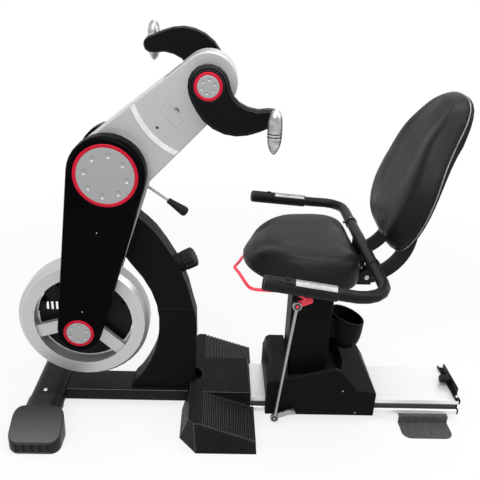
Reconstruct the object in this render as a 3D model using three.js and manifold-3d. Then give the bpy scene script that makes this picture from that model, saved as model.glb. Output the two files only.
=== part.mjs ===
import * as THREE from 'three';
import { mergeVertices } from 'three/addons/utils/BufferGeometryUtils.js';
import { ConvexGeometry } from 'three/addons/geometries/ConvexGeometry.js';
import Module from 'manifold-3d';

const wasm = await Module();
wasm.setup();

// An arm ergometer: two hand cranks on a tilting arm, a belt-driven flywheel,
// and a reclining seat that slides on a floor rail.
// Millimetres. +X runs from the flywheel to the seat, +Y away from the near side, +Z up.
// Places along X are counted from the middle of the footrest until the last lines.

// Driving dimensions: gaps and cuts
const seatGap = 0.3;
const runGap = 1;
const overrun = 5;

// Driving dimensions: main axes
const pivotX = -312;
const pivotZ = 793;
const axleX = -411;
const axleZ = 311;
const armLength = 358;
const armAngle = THREE.MathUtils.degToRad(42.6);
const crankX = pivotX + armLength * Math.cos(armAngle);
const crankZ = pivotZ + armLength * Math.sin(armAngle);

// Driving dimensions: layers across the machine, half widths from the middle plane
const postHalf = 32;
const postBaseHalf = 35;
const armInnerHalf = 46;
const armPlateThick = 4;
const armOuterHalf = armInnerHalf + armPlateThick;
const plateThick = 5;
const plateInnerHalf = armOuterHalf + runGap;
const plateOuterHalf = plateInnerHalf + plateThick;
const coverInnerHalf = plateOuterHalf + seatGap;
const coverOuterHalf = 100;
const coverWall = 3;

// Driving dimensions: the post's foot on the beam, and how far its side view reaches
const postFoot = -275;
const postReach = 362;
const postRearShare = 0.56;
const postRearFoot = postFoot + postRearShare * postReach;

// Driving dimensions: floor parts
const beamHalf = 51;
const beamBottom = 31;
const beamTop = 73;
const railHalf = 88;
const railBottom = 29;
const railTop = 84;
const railFront = 38;
const railRear = 768;

// Helpers: closed bodies and booleans

function plain(geometry) {
  const bare = geometry.clone();
  for (const key of Object.keys(bare.attributes)) {
    if (key !== 'position') bare.deleteAttribute(key);
  }
  const merged = mergeVertices(bare, 1e-4);
  return signedVolume(merged) < 0 ? flipped(merged) : merged;
}

function signedVolume(geometry) {
  const p = geometry.attributes.position;
  const index = geometry.index;
  const a = new THREE.Vector3();
  const b = new THREE.Vector3();
  const c = new THREE.Vector3();
  let sum = 0;
  for (let i = 0; i < index.count; i += 3) {
    a.fromBufferAttribute(p, index.getX(i));
    b.fromBufferAttribute(p, index.getX(i + 1));
    c.fromBufferAttribute(p, index.getX(i + 2));
    sum += a.dot(b.cross(c));
  }
  return sum;
}

function flipped(geometry) {
  const array = geometry.index.array;
  for (let i = 0; i < array.length; i += 3) {
    const first = array[i];
    array[i] = array[i + 1];
    array[i + 1] = first;
  }
  return geometry;
}

function toSolid(geometry) {
  const g = plain(geometry);
  const mesh = new wasm.Mesh({
    numProp: 3,
    vertProperties: new Float32Array(g.attributes.position.array),
    triVerts: new Uint32Array(g.index.array),
  });
  return new wasm.Manifold(mesh);
}

function fromSolid(solid) {
  const mesh = solid.getMesh();
  const g = new THREE.BufferGeometry();
  g.setAttribute('position', new THREE.BufferAttribute(new Float32Array(mesh.vertProperties), 3));
  g.setIndex(new THREE.BufferAttribute(new Uint32Array(mesh.triVerts), 1));
  return g;
}

function join(...geometries) {
  const solids = geometries.map(toSolid);
  return fromSolid(solids.reduce((sum, next) => sum.add(next)));
}

function cut(body, ...tools) {
  const start = toSolid(body);
  return fromSolid(tools.map(toSolid).reduce((rest, tool) => rest.subtract(tool), start));
}

function common(a, b) {
  return fromSolid(toSolid(a).intersect(toSolid(b)));
}

// Helpers: shapes. Outlines are lists of two numbers, counted anticlockwise.

function prismZ(outline, low, high) {
  const shape = new THREE.Shape(outline.map(([x, y]) => new THREE.Vector2(x, y)));
  const g = new THREE.ExtrudeGeometry(shape, { depth: high - low, bevelEnabled: false });
  return g.translate(0, 0, low);
}

// An outline in X and Z, run along Y.
function prismY(outline, low, high) {
  return prismZ(outline, 0, high - low).rotateX(Math.PI / 2).translate(0, high, 0);
}

// An outline in Y and Z, run along X.
function prismX(outline, low, high) {
  const turn = new THREE.Matrix4().makeBasis(
    new THREE.Vector3(0, 1, 0),
    new THREE.Vector3(0, 0, 1),
    new THREE.Vector3(1, 0, 0),
  );
  return prismZ(outline, 0, high - low).applyMatrix4(turn).translate(low, 0, 0);
}

function block(x0, x1, y0, y1, z0, z1) {
  const g = new THREE.BoxGeometry(x1 - x0, y1 - y0, z1 - z0);
  return g.translate((x0 + x1) / 2, (y0 + y1) / 2, (z0 + z1) / 2);
}

// A plain cylinder about the origin, its length along Y.
function upright(radius, length, sides) {
  return new THREE.CylinderGeometry(radius, radius, length, sides);
}

function rodY(x, z, radius, y0, y1, sides = 18) {
  const g = new THREE.CylinderGeometry(radius, radius, y1 - y0, sides);
  return g.translate(x, (y0 + y1) / 2, z);
}

function rodZ(x, y, radius, z0, z1, sides = 18) {
  const g = new THREE.CylinderGeometry(radius, radius, z1 - z0, sides);
  return g.rotateX(Math.PI / 2).translate(x, y, (z0 + z1) / 2);
}

// A turned body about a line along Y: the profile is pairs of radius and place along Y.
function turnedY(profile, x, z, sides) {
  const g = new THREE.LatheGeometry(profile.map(([r, y]) => new THREE.Vector2(r, y)), sides);
  return g.translate(x, 0, z);
}

function ringY(x, z, inner, outer, y0, y1, sides) {
  return turnedY([[inner, y0], [outer, y0], [outer, y1], [inner, y1], [inner, y0]], x, z, sides);
}

function mirrorY(geometry) {
  const g = plain(geometry);
  return flipped(g.scale(1, -1, 1));
}

function arcPoints(x, y, radius, from, to, steps) {
  return Array.from({ length: steps + 1 }, (_, i) => {
    const a = from + (to - from) * i / steps;
    return [x + radius * Math.cos(a), y + radius * Math.sin(a)];
  });
}

function roundedBox2(x0, x1, y0, y1, radius, steps = 4) {
  const quarter = Math.PI / 2;
  const corners = [[x1 - radius, y0 + radius], [x1 - radius, y1 - radius],
    [x0 + radius, y1 - radius], [x0 + radius, y0 + radius]];
  return corners.flatMap(([x, y], i) => arcPoints(x, y, radius, (i - 1) * quarter, i * quarter, steps));
}

// The belt-like outline round two circles.
function roundTwo(x1, z1, r1, x2, z2, r2, steps1 = 20, steps2 = 12) {
  const heading = Math.atan2(z2 - z1, x2 - x1);
  const lean = Math.acos((r1 - r2) / Math.hypot(x2 - x1, z2 - z1));
  const big = arcPoints(x1, z1, r1, heading + lean, heading + 2 * Math.PI - lean, steps1);
  const small = arcPoints(x2, z2, r2, heading - lean, heading + lean, steps2);
  return [...big, ...small];
}

// The same outline moved inwards by a distance.
function inset(outline, distance) {
  const n = outline.length;
  return outline.map((point, i) => {
    const before = outline[(i + n - 1) % n];
    const after = outline[(i + 1) % n];
    const a = new THREE.Vector2(point[0] - before[0], point[1] - before[1]).normalize();
    const b = new THREE.Vector2(after[0] - point[0], after[1] - point[1]).normalize();
    const share = distance / (1 + a.dot(b));
    return [point[0] - (a.y + b.y) * share, point[1] + (a.x + b.x) * share];
  });
}

// A closed body through sections: loops of 3-D points, all with the same count.
function loft(sections) {
  const count = sections[0].length;
  const positions = sections.flat().flatMap((p) => [p.x, p.y, p.z]);
  const index = [];
  for (let s = 0; s + 1 < sections.length; s += 1) {
    for (let i = 0; i < count; i += 1) {
      const j = (i + 1) % count;
      const a = s * count + i;
      const b = s * count + j;
      index.push(a, b, b + count, a, b + count, a + count);
    }
  }
  const centreOf = (loop) => loop.reduce((sum, p) => sum.add(p), new THREE.Vector3()).divideScalar(count);
  const capFan = (loop, base, reverse) => {
    const normal = new THREE.Vector3();
    const middle = centreOf(loop);
    loop.forEach((p, i) => {
      const next = loop[(i + 1) % count];
      normal.add(p.clone().sub(middle).cross(next.clone().sub(middle)));
    });
    normal.normalize();
    const across = Math.abs(normal.z) < 0.9 ? new THREE.Vector3(0, 0, 1) : new THREE.Vector3(1, 0, 0);
    const u = new THREE.Vector3().crossVectors(across, normal).normalize();
    const v = new THREE.Vector3().crossVectors(normal, u);
    const flat = loop.map((p) => new THREE.Vector2(p.dot(u), p.dot(v)));
    for (const [a, b, c] of THREE.ShapeUtils.triangulateShape(flat, [])) {
      if (reverse) index.push(base + c, base + b, base + a);
      else index.push(base + a, base + b, base + c);
    }
  };
  capFan(sections[0], 0, true);
  capFan(sections[sections.length - 1], (sections.length - 1) * count, false);
  const g = new THREE.BufferGeometry();
  g.setAttribute('position', new THREE.Float32BufferAttribute(positions, 3));
  g.setIndex(index);
  return g;
}

// Sections of X and Z outlines at given places along Y.
function loftY(levels) {
  return loft(levels.map(([outline, y]) => outline.map(([x, z]) => new THREE.Vector3(x, y, z))));
}

function loftZ(levels) {
  return loft(levels.map(([outline, z]) => outline.map(([x, y]) => new THREE.Vector3(x, y, z))));
}

function hull(points) {
  return new ConvexGeometry(points.map(([x, y, z]) => new THREE.Vector3(x, y, z)));
}

// A smooth line through points of two or three numbers.
function smoothLine(points, closed = false) {
  const places = points.map(([x, y, z = 0]) => new THREE.Vector3(x, y, z));
  return new THREE.CatmullRomCurve3(places, closed, 'centripetal');
}

// A round tube along a smooth line through points.
function tube(points, radius, sides, steps) {
  const line = smoothLine(points);
  const section = new THREE.Shape(arcPoints(0, 0, radius, 0, 2 * Math.PI, sides)
    .slice(0, -1).map(([x, y]) => new THREE.Vector2(x, y)));
  return new THREE.ExtrudeGeometry(section, { steps, extrudePath: line, bevelEnabled: false });
}

// A point in the arm's own directions, from the tilt axis: along the arm, then square to it.
function onArm(along, square) {
  const c = Math.cos(armAngle);
  const s = Math.sin(armAngle);
  return [pivotX + along * c - square * s, pivotZ + along * s + square * c];
}

// Materials

function finish(color, roughness, metalness = 0) {
  return new THREE.MeshStandardMaterial({ color, roughness, metalness });
}

const blackPaint = finish(0x17181a, 0.45, 0.2);
const blackPlastic = finish(0x1b1c1e, 0.55);
const greyPlastic = finish(0x4a4b4e, 0.5);
const silverPaint = finish(0xb9babb, 0.35, 0.5);
const aluminium = finish(0xd6d7d8, 0.35, 0.8);
const steel = finish(0xb0b2b5, 0.3, 0.9);
const chrome = finish(0xe4e6e8, 0.12, 1);
const redPlastic = finish(0xd8182c, 0.4);
const rubber = finish(0x222325, 0.8);
const vinyl = finish(0x2b2c2e, 0.5);

const machine = new THREE.Group();

function add(name, geometry, material) {
  const mesh = new THREE.Mesh(plain(geometry), material);
  mesh.name = name;
  machine.add(mesh);
}

// Front cross tube, a flat oval along Y, with a moulded foot on each end

const crossX = -525;
const crossHalfWidth = 51;
const crossBottom = 30;
const crossTop = 92;
const crossRound = 28;
const crossHalfLength = 163;
const tubeWall = 5;
const crossOutline = roundedBox2(
  crossX - crossHalfWidth, crossX + crossHalfWidth, crossBottom, crossTop, crossRound, 5);

add('front_cross_tube', cut(
  prismY(crossOutline, -crossHalfLength, crossHalfLength),
  prismY(inset(crossOutline, tubeWall), -crossHalfLength - overrun, crossHalfLength + overrun),
), blackPaint);

const capSleeveFrom = 105;
const capSleeveWall = 2.2;
const capInner = 160;
const capOuter = 262;
const capHalfWidth = 75;
const capRound = 30;
const capInnerTop = 97;
const capOuterTop = 43;
const capSoleInset = 4;
const capSoleStep = 9;
const capEdge = 5;
const capGrooveDepth = 3;
const capGrooveHalf = 5;
const capGrooves = 5;

// A sleeve round the tube's end, widening into a foot whose top falls away outwards.
function footCap() {
  const round = Math.min(capRound, (capOuter - capInner) / 2 - runGap);
  const plan = roundedBox2(crossX - capHalfWidth, crossX + capHalfWidth, capInner, capOuter, round, 5);
  const topAt = (y) => {
    const share = (y - capInner) / (capOuter - capInner);
    return capInnerTop + (capOuterTop - capInnerTop) * share;
  };
  const loopAt = (shift, height) => inset(plan, shift).map(([x, y]) => new THREE.Vector3(x, y, height(y)));
  const foot = loft([
    loopAt(capSoleInset, () => 0),
    loopAt(0, () => capSoleStep),
    loopAt(0, (y) => topAt(y) - capEdge),
    loopAt(capEdge / 2, topAt),
  ]);
  const sleeve = prismY(inset(crossOutline, -seatGap - capSleeveWall), capSleeveFrom, capInner + overrun);
  const pitch = 2 * (capHalfWidth - capRound) / (capGrooves - 1);
  const grooves = Array.from({ length: capGrooves }, (_, i) => {
    const x = crossX - capHalfWidth + capRound + i * pitch;
    return block(x - capGrooveHalf, x + capGrooveHalf, capOuter - capGrooveDepth, capOuter + capGrooveDepth,
      capSoleStep, capOuterTop - capEdge);
  });
  const socket = prismY(inset(crossOutline, -seatGap), capSleeveFrom - overrun, crossHalfLength + seatGap);
  return cut(join(foot, sleeve), socket, ...grooves);
}

add('front_foot_cap_near', mirrorY(footCap()), greyPlastic);
add('front_foot_cap_far', footCap(), greyPlastic);

// Floor beam from the cross tube to the rail

const beamRound = 5;
const beamFront = crossX + crossHalfWidth - crossRound;

add('floor_beam', cut(
  prismX(roundedBox2(-beamHalf, beamHalf, beamBottom, beamTop, beamRound, 2), beamFront, railFront - seatGap),
  block(beamFront - overrun, railFront, -beamHalf + tubeWall, beamHalf - tubeWall,
    beamBottom + tubeWall, beamTop - tubeWall),
  prismY(inset(crossOutline, -seatGap), -beamHalf - overrun, beamHalf + overrun),
), blackPaint);

// Sliding rail: an aluminium section with a groove down each side, two end fittings and a rear foot

const grooveDepth = 14;
const grooveBottom = 46;
const grooveTop = 66;
const railWall = 8;
const railLip = 3;
const endPlateThick = 5;

const railOutline = [
  [-railHalf, railBottom], [railHalf, railBottom], [railHalf, grooveBottom - railLip],
  [railHalf - railLip, grooveBottom], [railHalf - grooveDepth, grooveBottom],
  [railHalf - grooveDepth, grooveTop], [railHalf - railLip, grooveTop],
  [railHalf, grooveTop + railLip], [railHalf, railTop],
  [-railHalf, railTop], [-railHalf, grooveTop + railLip], [-railHalf + railLip, grooveTop],
  [-railHalf + grooveDepth, grooveTop], [-railHalf + grooveDepth, grooveBottom],
  [-railHalf + railLip, grooveBottom], [-railHalf, grooveBottom - railLip],
];
const railCore = railHalf - grooveDepth - railWall;

add('rail', cut(
  prismX(railOutline, railFront, railRear),
  block(railFront - overrun, railRear + overrun, railWall / 2, railCore,
    railBottom + railWall, railTop - railWall),
  block(railFront - overrun, railRear + overrun, -railCore, -railWall / 2,
    railBottom + railWall, railTop - railWall),
), aluminium);

const endPlateFront = railRear + seatGap;
add('rail_end_plate', prismX(railOutline, endPlateFront, endPlateFront + endPlateThick), blackPlastic);

const strapFront = 755;
const strapRear = 768;
const strapHalf = 92;
const strapWaist = 66;
const strapThick = 4;
const strapWall = 4;
const strapHeight = 30;
const strapBoltRadius = 6;
const strapBoltPlace = 80;
const strapBoltHeight = 4;
const bumperRadius = 13;
const bumperLength = 32;
const bumperGrooveDepth = 2;
const strapBase = railTop + seatGap;
const bumperZ = strapBase + strapThick + seatGap + bumperRadius;

function strapBolt(side) {
  return rodZ((strapFront + strapRear) / 2, side * strapBoltPlace, strapBoltRadius,
    strapBase, strapBase + strapThick + strapBoltHeight, 6);
}

add('rail_stop_strap', join(
  block(strapFront, strapRear, -strapHalf, strapHalf, strapBase, strapBase + strapThick),
  block(strapRear - strapWall, strapRear, -strapWaist, strapWaist, strapBase, strapBase + strapHeight),
  strapBolt(1),
  strapBolt(-1),
), blackPaint);

const bumperBack = strapRear - strapWall - seatGap;
add('rail_bumper', turnedY([
  [0, 0], [bumperRadius - bumperGrooveDepth, 0], [bumperRadius, bumperGrooveDepth],
  [bumperRadius, bumperLength - bumperGrooveDepth], [bumperRadius - bumperGrooveDepth, bumperLength],
  [0, bumperLength],
], 0, 0, 24).rotateZ(Math.PI / 2).translate(bumperBack, 0, bumperZ), rubber);

const rearFootFront = 580;
const rearFootRear = 738;
const rearFootHalf = 170;
const rearFootWeb = 100;
const rearFootSheet = 4;
const rearFootRound = 26;
const rearFootTop = railBottom - seatGap;

const rearFootSection = [
  [-rearFootHalf, 0], [-rearFootWeb + rearFootSheet, 0],
  [-rearFootWeb + rearFootSheet, rearFootTop - rearFootSheet],
  [rearFootWeb - rearFootSheet, rearFootTop - rearFootSheet], [rearFootWeb - rearFootSheet, 0],
  [rearFootHalf, 0], [rearFootHalf, rearFootSheet], [rearFootWeb, rearFootSheet],
  [rearFootWeb, rearFootTop], [-rearFootWeb, rearFootTop], [-rearFootWeb, rearFootSheet],
  [-rearFootHalf, rearFootSheet],
];

add('rear_foot', common(
  prismX(rearFootSection, rearFootFront, rearFootRear),
  prismZ(roundedBox2(rearFootFront, rearFootRear, -rearFootHalf, rearFootHalf, rearFootRound, 4),
    -overrun, railTop),
), blackPaint);

// Footrest: a moulded platform over the beam, with a ribbed ramp for each foot

const restFrontFoot = -112;
const restFrontTop = -85;
const restTop = 102;
const restRear = 119;
const restMiddleRear = 104;
const restMiddleHalf = 92;
const restRibFront = -47;
const restRearTop = 45;
const restRibs = 14;
const restRibDepth = 3.5;
const restHalfFloor = 248;
const restDraft = 10;
const restHalfTop = restHalfFloor - restDraft;
const restCornerX = 52;
const restCornerY = 65;
const restWall = 4;
const notchInset = 16;
const notchX = postRearFoot - notchInset;
const notchRadius = 40;

function rampHeight(x) {
  return restTop + (restRearTop - restTop) * (x - restRibFront) / (restRear - restRibFront);
}

function rampProfile(top) {
  return [[restFrontFoot, 0], [restRear, 0], [restRear - restWall, restRearTop], ...top,
    [restRibFront, restTop], [restFrontTop, restTop]];
}

function ribPoints() {
  const pitch = (restRear - restRibFront) / (restRibs + 1);
  return Array.from({ length: restRibs }, (_, i) => {
    const x = restRibFront + (restRibs - i) * pitch;
    const next = x - pitch / 2;
    return [[x, rampHeight(x)], [x, rampHeight(x) - restRibDepth], [next, rampHeight(next) - restRibDepth],
      [next, rampHeight(next)]];
  }).flat();
}

// The far half: a ribbed ramp over a hollow, its outer side leaning in and its front corner cut off.
function footrestSide() {
  const ramp = prismY(rampProfile(ribPoints()), restMiddleHalf - overrun, restHalfFloor);
  const hollow = inset(rampProfile([]), restWall + restRibDepth)
    .map(([x, z]) => [x, z < restWall + restRibDepth + runGap ? -overrun : z]);
  const draft = prismX([
    [restHalfFloor, -overrun], [restHalfFloor + overrun, -overrun],
    [restHalfFloor + overrun, restTop + overrun], [restHalfTop, restTop + overrun],
  ], restFrontFoot - overrun, restRear + overrun);
  const cornerPoints = [
    [restFrontFoot - overrun, restHalfFloor - restCornerY], [restFrontFoot, restHalfFloor - restCornerY],
    [restFrontFoot + restCornerX, restHalfFloor], [restFrontFoot + restCornerX, restHalfFloor + overrun],
    [restFrontFoot - overrun, restHalfFloor + overrun],
  ];
  const corner = prismZ(cornerPoints, -overrun, restTop + overrun);
  const hollowCorner = cornerPoints.map(([x, y]) => [x + restWall, y - restWall]);
  const keepCorner = prismZ(hollowCorner, -2 * overrun, restTop + overrun);
  const cavity = cut(prismY(hollow, restMiddleHalf + restWall, restHalfTop - restWall), keepCorner);
  return cut(ramp, cavity, draft, corner);
}

const restMiddle = prismY([
  [restFrontFoot, 0], [restMiddleRear, 0], [restMiddleRear, restTop - restWall],
  [restMiddleRear - restWall, restTop], [restFrontTop, restTop],
], -restMiddleHalf, restMiddleHalf);

add('footrest', cut(
  join(restMiddle, footrestSide(), mirrorY(footrestSide())),
  block(restFrontFoot - overrun, railFront, -beamHalf - seatGap, beamHalf + seatGap,
    -overrun, beamTop + seatGap),
  block(railFront - overrun, restRear + overrun, -railHalf - seatGap, railHalf + seatGap,
    -overrun, railTop + seatGap),
  rodZ(notchX, 0, notchRadius, -overrun, restTop + overrun, 20),
  block(Math.min(restFrontFoot, notchX) - overrun, notchX, -notchRadius, notchRadius,
    -overrun, restTop + overrun),
), blackPlastic);

// Mast: a curved post on the beam, in a lower and an upper casing

const postSplit = 362;
const postFrontShares = [
  [0.04, 0.035], [0.07, 0.05], [0.15, 0.115], [0.218, 0.195], [0.25, 0.29], [0.243, 0.395], [0.165, 0.508],
  [0.008, 0.62], [-0.2, 0.78],
];
const postRearShares = [
  [postRearShare, 0.055], [0.565, 0.35], [0.54, 0.4], [0.468, 0.536], [0.363, 0.64], [0.217, 0.75],
  [0.105, 0.802],
];
const postRise = pivotZ - beamTop;
const headRadius = 52;
const leverHubReach = 62;
const leverHubDrop = 33;
const leverHubX = pivotX + leverHubReach;
const leverHubZ = pivotZ - leverHubDrop;
const leverHubRadius = 12;
const leverEarHalf = 15;
const leverPinRadius = 5;
const jackRadius = 12;
const postWall = 5;

function postLine(shares) {
  return shares.map(([sx, sz]) => [postFoot + sx * postReach, beamTop + seatGap + sz * postRise]);
}

function smooth(points, steps) {
  return smoothLine(points).getPoints(steps).map((p) => [p.x, p.y]);
}

const headFrom = -Math.PI / 3;
const headTo = 5 * Math.PI / 4;

// The post's side view, its foot at a given height.
function postProfile(foot) {
  const front = smooth([[postFoot, foot], ...postLine(postFrontShares)], 16);
  const rear = smooth([[postRearFoot, foot], ...postLine(postRearShares)], 13);
  return [...rear, ...arcPoints(pivotX, pivotZ, headRadius, headFrom, headTo, 9), ...front.reverse()];
}

// The bar that ties the mast frame together through the post, with a gap round it for the cut.
const mastBarFront = -308;
const mastBarRear = -266;
const mastBarLow = 606;
const mastBarHigh = 648;

function mastBar(gap) {
  return block(mastBarFront - gap, mastBarRear + gap, -plateInnerHalf - runGap, plateInnerHalf + runGap,
    mastBarLow - gap, mastBarHigh + gap);
}

const postOutline = postProfile(beamTop + seatGap);
const postInside = inset(postProfile(beamTop - overrun), postWall);

const knobAngle = THREE.MathUtils.degToRad(28);
const knobShare = 0.5;
const knobX = postFoot + knobShare * postReach;
const knobZ = 516;
const knobRadius = 30;
const knobLength = 32;
const knobFlutes = 12;
const knobFluteRadius = 3;
const knobLandShare = 0.8;
const bossRadius = 29;
const bossLength = 52;
const bossFaceGap = 2;
const knobShaftRadius = 5;
const knobShaftLength = 26;

// Bodies on the line of the resistance knob: made along Y, then laid along the knob's own axis.
function onKnobAxis(geometry) {
  return geometry.rotateZ(-Math.PI / 2).rotateY(-knobAngle).translate(knobX, 0, knobZ);
}

const lowerBand = block(postFoot - postReach, postFoot + 2 * postReach, -postBaseHalf - overrun,
  postBaseHalf + overrun, 0, postSplit);
const upperBand = block(postFoot - postReach, postFoot + 2 * postReach, -postBaseHalf - overrun,
  postBaseHalf + overrun, postSplit + seatGap, pivotZ + 2 * headRadius);

add('post_base_cover', cut(
  common(prismY(postOutline, -postBaseHalf, postBaseHalf), lowerBand),
  prismY(postInside, -postBaseHalf + postWall, postBaseHalf - postWall),
), blackPaint);

function leverEar(side) {
  const low = side > 0 ? leverEarHalf + seatGap : -postHalf;
  const high = side > 0 ? postHalf : -leverEarHalf - seatGap;
  const outline = roundTwo(
    pivotX, pivotZ, headRadius - runGap, leverHubX, leverHubZ, leverHubRadius + runGap, 12, 8);
  return prismY(outline, low, high);
}

const postInsideTop = common(
  prismY(postInside, -postHalf + postWall, postHalf - postWall),
  block(postFoot - postReach, postFoot + 2 * postReach, -postHalf, postHalf,
    beamTop, pivotZ - 2 * headRadius),
);

add('post_shell', cut(
  join(
    cut(
      common(prismY(postOutline, -postHalf, postHalf), upperBand),
      rodY(leverHubX, leverHubZ, leverHubRadius + 2 * runGap,
        -leverEarHalf - seatGap, leverEarHalf + seatGap),
    ),
    leverEar(1),
    leverEar(-1),
    onKnobAxis(upright(bossRadius, bossLength, 18)
      .translate(0, -bossLength / 2 - knobLength / 2 - bossFaceGap, 0)),
  ),
  postInsideTop,
  mastBar(seatGap),
  rodY(pivotX, pivotZ, jackRadius + seatGap, -postHalf - overrun, postHalf + overrun),
  rodY(leverHubX, leverHubZ, leverPinRadius + seatGap, -postHalf - overrun, postHalf + overrun, 16),
  onKnobAxis(upright(knobShaftRadius + seatGap, 2 * bossLength, 16).translate(0, -knobLength / 2, 0)),
), blackPaint);

function knobOutline() {
  const half = Math.PI / knobFlutes;
  return Array.from({ length: knobFlutes }, (_, i) => {
    const a = 2 * half * i;
    const groove = knobRadius - knobFluteRadius;
    return [[knobRadius * Math.cos(a - half / 2), knobRadius * Math.sin(a - half / 2)],
      [knobRadius * Math.cos(a + half / 2), knobRadius * Math.sin(a + half / 2)],
      [groove * Math.cos(a + knobLandShare * half), groove * Math.sin(a + knobLandShare * half)],
      [groove * Math.cos(a + (2 - knobLandShare) * half),
        groove * Math.sin(a + (2 - knobLandShare) * half)]];
  }).flat();
}

const knobEdge = 4;
const knobTopScale = 1 - knobEdge / knobRadius;
const knobBody = loftZ([
  [knobOutline(), -knobLength / 2],
  [knobOutline(), knobLength / 2 - knobEdge],
  [knobOutline().map(([x, y]) => [x * knobTopScale, y * knobTopScale]), knobLength / 2],
]);

add('resistance_knob', onKnobAxis(join(
  knobBody.rotateX(-Math.PI / 2),
  upright(knobShaftRadius, knobShaftLength, 16)
    .translate(0, -knobLength / 2 - knobShaftLength / 2 + runGap, 0),
)), blackPlastic);

// Tilt lock lever in the post's ears: a steel rod with a tapered grip

const leverAngle = THREE.MathUtils.degToRad(-34.8);
const leverRodRadius = 4;
const leverLength = 178;
const leverGripLength = 60;
const leverGripRoot = 7.5;
const leverGripEnd = 12;
const leverTipShares = [[0.87, 0.5], [0.5, 0.13], [0, 0]];

function alongLever(geometry) {
  return geometry.rotateZ(-Math.PI / 2).rotateY(-leverAngle).translate(leverHubX, 0, leverHubZ);
}

const gripStart = leverLength - leverGripLength;
add('tilt_lock_lever', join(
  rodY(leverHubX, leverHubZ, leverHubRadius, -leverEarHalf, leverEarHalf),
  rodY(leverHubX, leverHubZ, leverPinRadius, -postHalf, postHalf, 16),
  alongLever(upright(leverRodRadius, gripStart, 12).translate(0, gripStart / 2 + runGap, 0)),
  alongLever(new THREE.LatheGeometry([
    [0, gripStart], [leverGripRoot, gripStart], [leverGripEnd, leverLength - leverGripEnd],
    ...leverTipShares.map(([r, h]) => [leverGripEnd * r, leverLength - leverGripEnd * h]),
  ].map(([r, y]) => new THREE.Vector2(r, y)), 16)),
), blackPlastic);

// Mast frame: two steel plates that carry the tilt axis and the flywheel axle, on a bar through the post

const plateShift = 12;
const plateHeadRadius = 100;
const plateNeckX = -318;
const plateNeckZ = 650;
const plateNeckRadius = 74;
const plateFootRadius = 58;
const bushRadius = 24;
const bushFarInner = 44.5;
const axleRadius = 10;

function mastPlate(side) {
  const low = side > 0 ? plateInnerHalf : -plateOuterHalf;
  const high = side > 0 ? plateOuterHalf : -plateInnerHalf;
  const upper = roundTwo(
    pivotX + plateShift, pivotZ, plateHeadRadius, plateNeckX, plateNeckZ, plateNeckRadius, 16, 4);
  const lower = roundTwo(plateNeckX, plateNeckZ, plateNeckRadius, axleX, axleZ, plateFootRadius, 5, 9);
  return join(prismY(upper, low, high), prismY(lower, low, high));
}

add('mast_frame', cut(
  join(
    mastPlate(1),
    mastPlate(-1),
    mastBar(0),
    rodY(pivotX, pivotZ, bushRadius, -plateOuterHalf, -postHalf - seatGap, 20),
    rodY(pivotX, pivotZ, bushRadius, bushFarInner, plateOuterHalf, 20),
  ),
  rodY(pivotX, pivotZ, jackRadius + seatGap, -plateOuterHalf - overrun, plateOuterHalf + overrun),
  rodY(axleX, axleZ, axleRadius + seatGap, -plateOuterHalf - overrun, plateOuterHalf + overrun),
), silverPaint);

// Drive covers: a hollow shell outside each mast plate, with a raised bezel at each end

const coverTopRadius = 105;
const coverFootRadius = 64;
const coverBevel = 8;
const bevelShare = 0.3;
const bezelInner = 87;
const bezelOuter = 99;
const bezelHeight = 3;
const bigDiscRadius = 76.5;
const bigRingOuter = 86;
const smallDiscRadius = 35;
const smallRingOuter = 44;
const trimHeight = 4;
const discHeight = 3;
const dimpleDepth = 1.6;
const dimpleTurn = THREE.MathUtils.degToRad(80);

function coverOutline(shrink) {
  return roundTwo(pivotX, pivotZ, coverTopRadius - shrink, axleX, axleZ, coverFootRadius - shrink, 18, 9);
}

function driveCover() {
  const shell = loftY([
    [coverOutline(0), coverInnerHalf],
    [coverOutline(0), coverOuterHalf - coverBevel],
    [coverOutline(coverBevel * bevelShare), coverOuterHalf - coverBevel * bevelShare],
    [coverOutline(coverBevel), coverOuterHalf],
  ]);
  const hollow = prismY(
    coverOutline(coverWall), coverInnerHalf - overrun, coverOuterHalf - coverWall - coverBevel / 2);
  const face = coverOuterHalf - coverWall / 2;
  const bezelTop = coverOuterHalf + bezelHeight;
  const bezel = turnedY([
    [bezelInner, face], [bezelOuter, face], [bezelOuter - bezelHeight, bezelTop], [bezelInner, bezelTop],
    [bezelInner, face],
  ], pivotX, pivotZ, 28);
  return join(cut(shell, hollow), bezel);
}

add('drive_cover_far', driveCover(), blackPlastic);
add('drive_cover_near', mirrorY(driveCover()), blackPlastic);

const bigDimpleShare = 0.735;
const bigDimples = 8;
const bigDimpleRadius = 8;
const smallDimpleShare = 0.725;
const smallDimples = 6;
const smallDimpleRadius = 4.4;
const trimFace = coverOuterHalf + seatGap;

// A trim cap about the origin: a disc with dimples sunk round it, and a raised ring.
function trimCap(discRadius, rimRadius, face, count, dimpleRadius, dimpleShare) {
  const low = face + discHeight;
  const high = face + trimHeight;
  const disc = turnedY([
    [0, face], [rimRadius, face], [rimRadius, high], [discRadius, high], [discRadius, low], [0, low],
  ], 0, 0, 28);
  const reach = discRadius * dimpleShare;
  const dimples = Array.from({ length: count }, (_, i) => {
    const a = dimpleTurn + 2 * Math.PI * i / count;
    return rodY(reach * Math.cos(a), reach * Math.sin(a), dimpleRadius, low - dimpleDepth, low + overrun, 7);
  });
  return cut(disc, ...dimples);
}

const pivotCap = trimCap(
  bigDiscRadius, bigRingOuter, trimFace, bigDimples, bigDimpleRadius, bigDimpleShare)
  .translate(pivotX, 0, pivotZ);
const axleCap = trimCap(
  smallDiscRadius, smallRingOuter, trimFace, smallDimples, smallDimpleRadius, smallDimpleShare)
  .translate(axleX, 0, axleZ);
add('pivot_cap_far', pivotCap, silverPaint);
add('pivot_cap_near', mirrorY(pivotCap), silverPaint);
add('axle_cap_far', axleCap, silverPaint);
add('axle_cap_near', mirrorY(axleCap), silverPaint);

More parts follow.
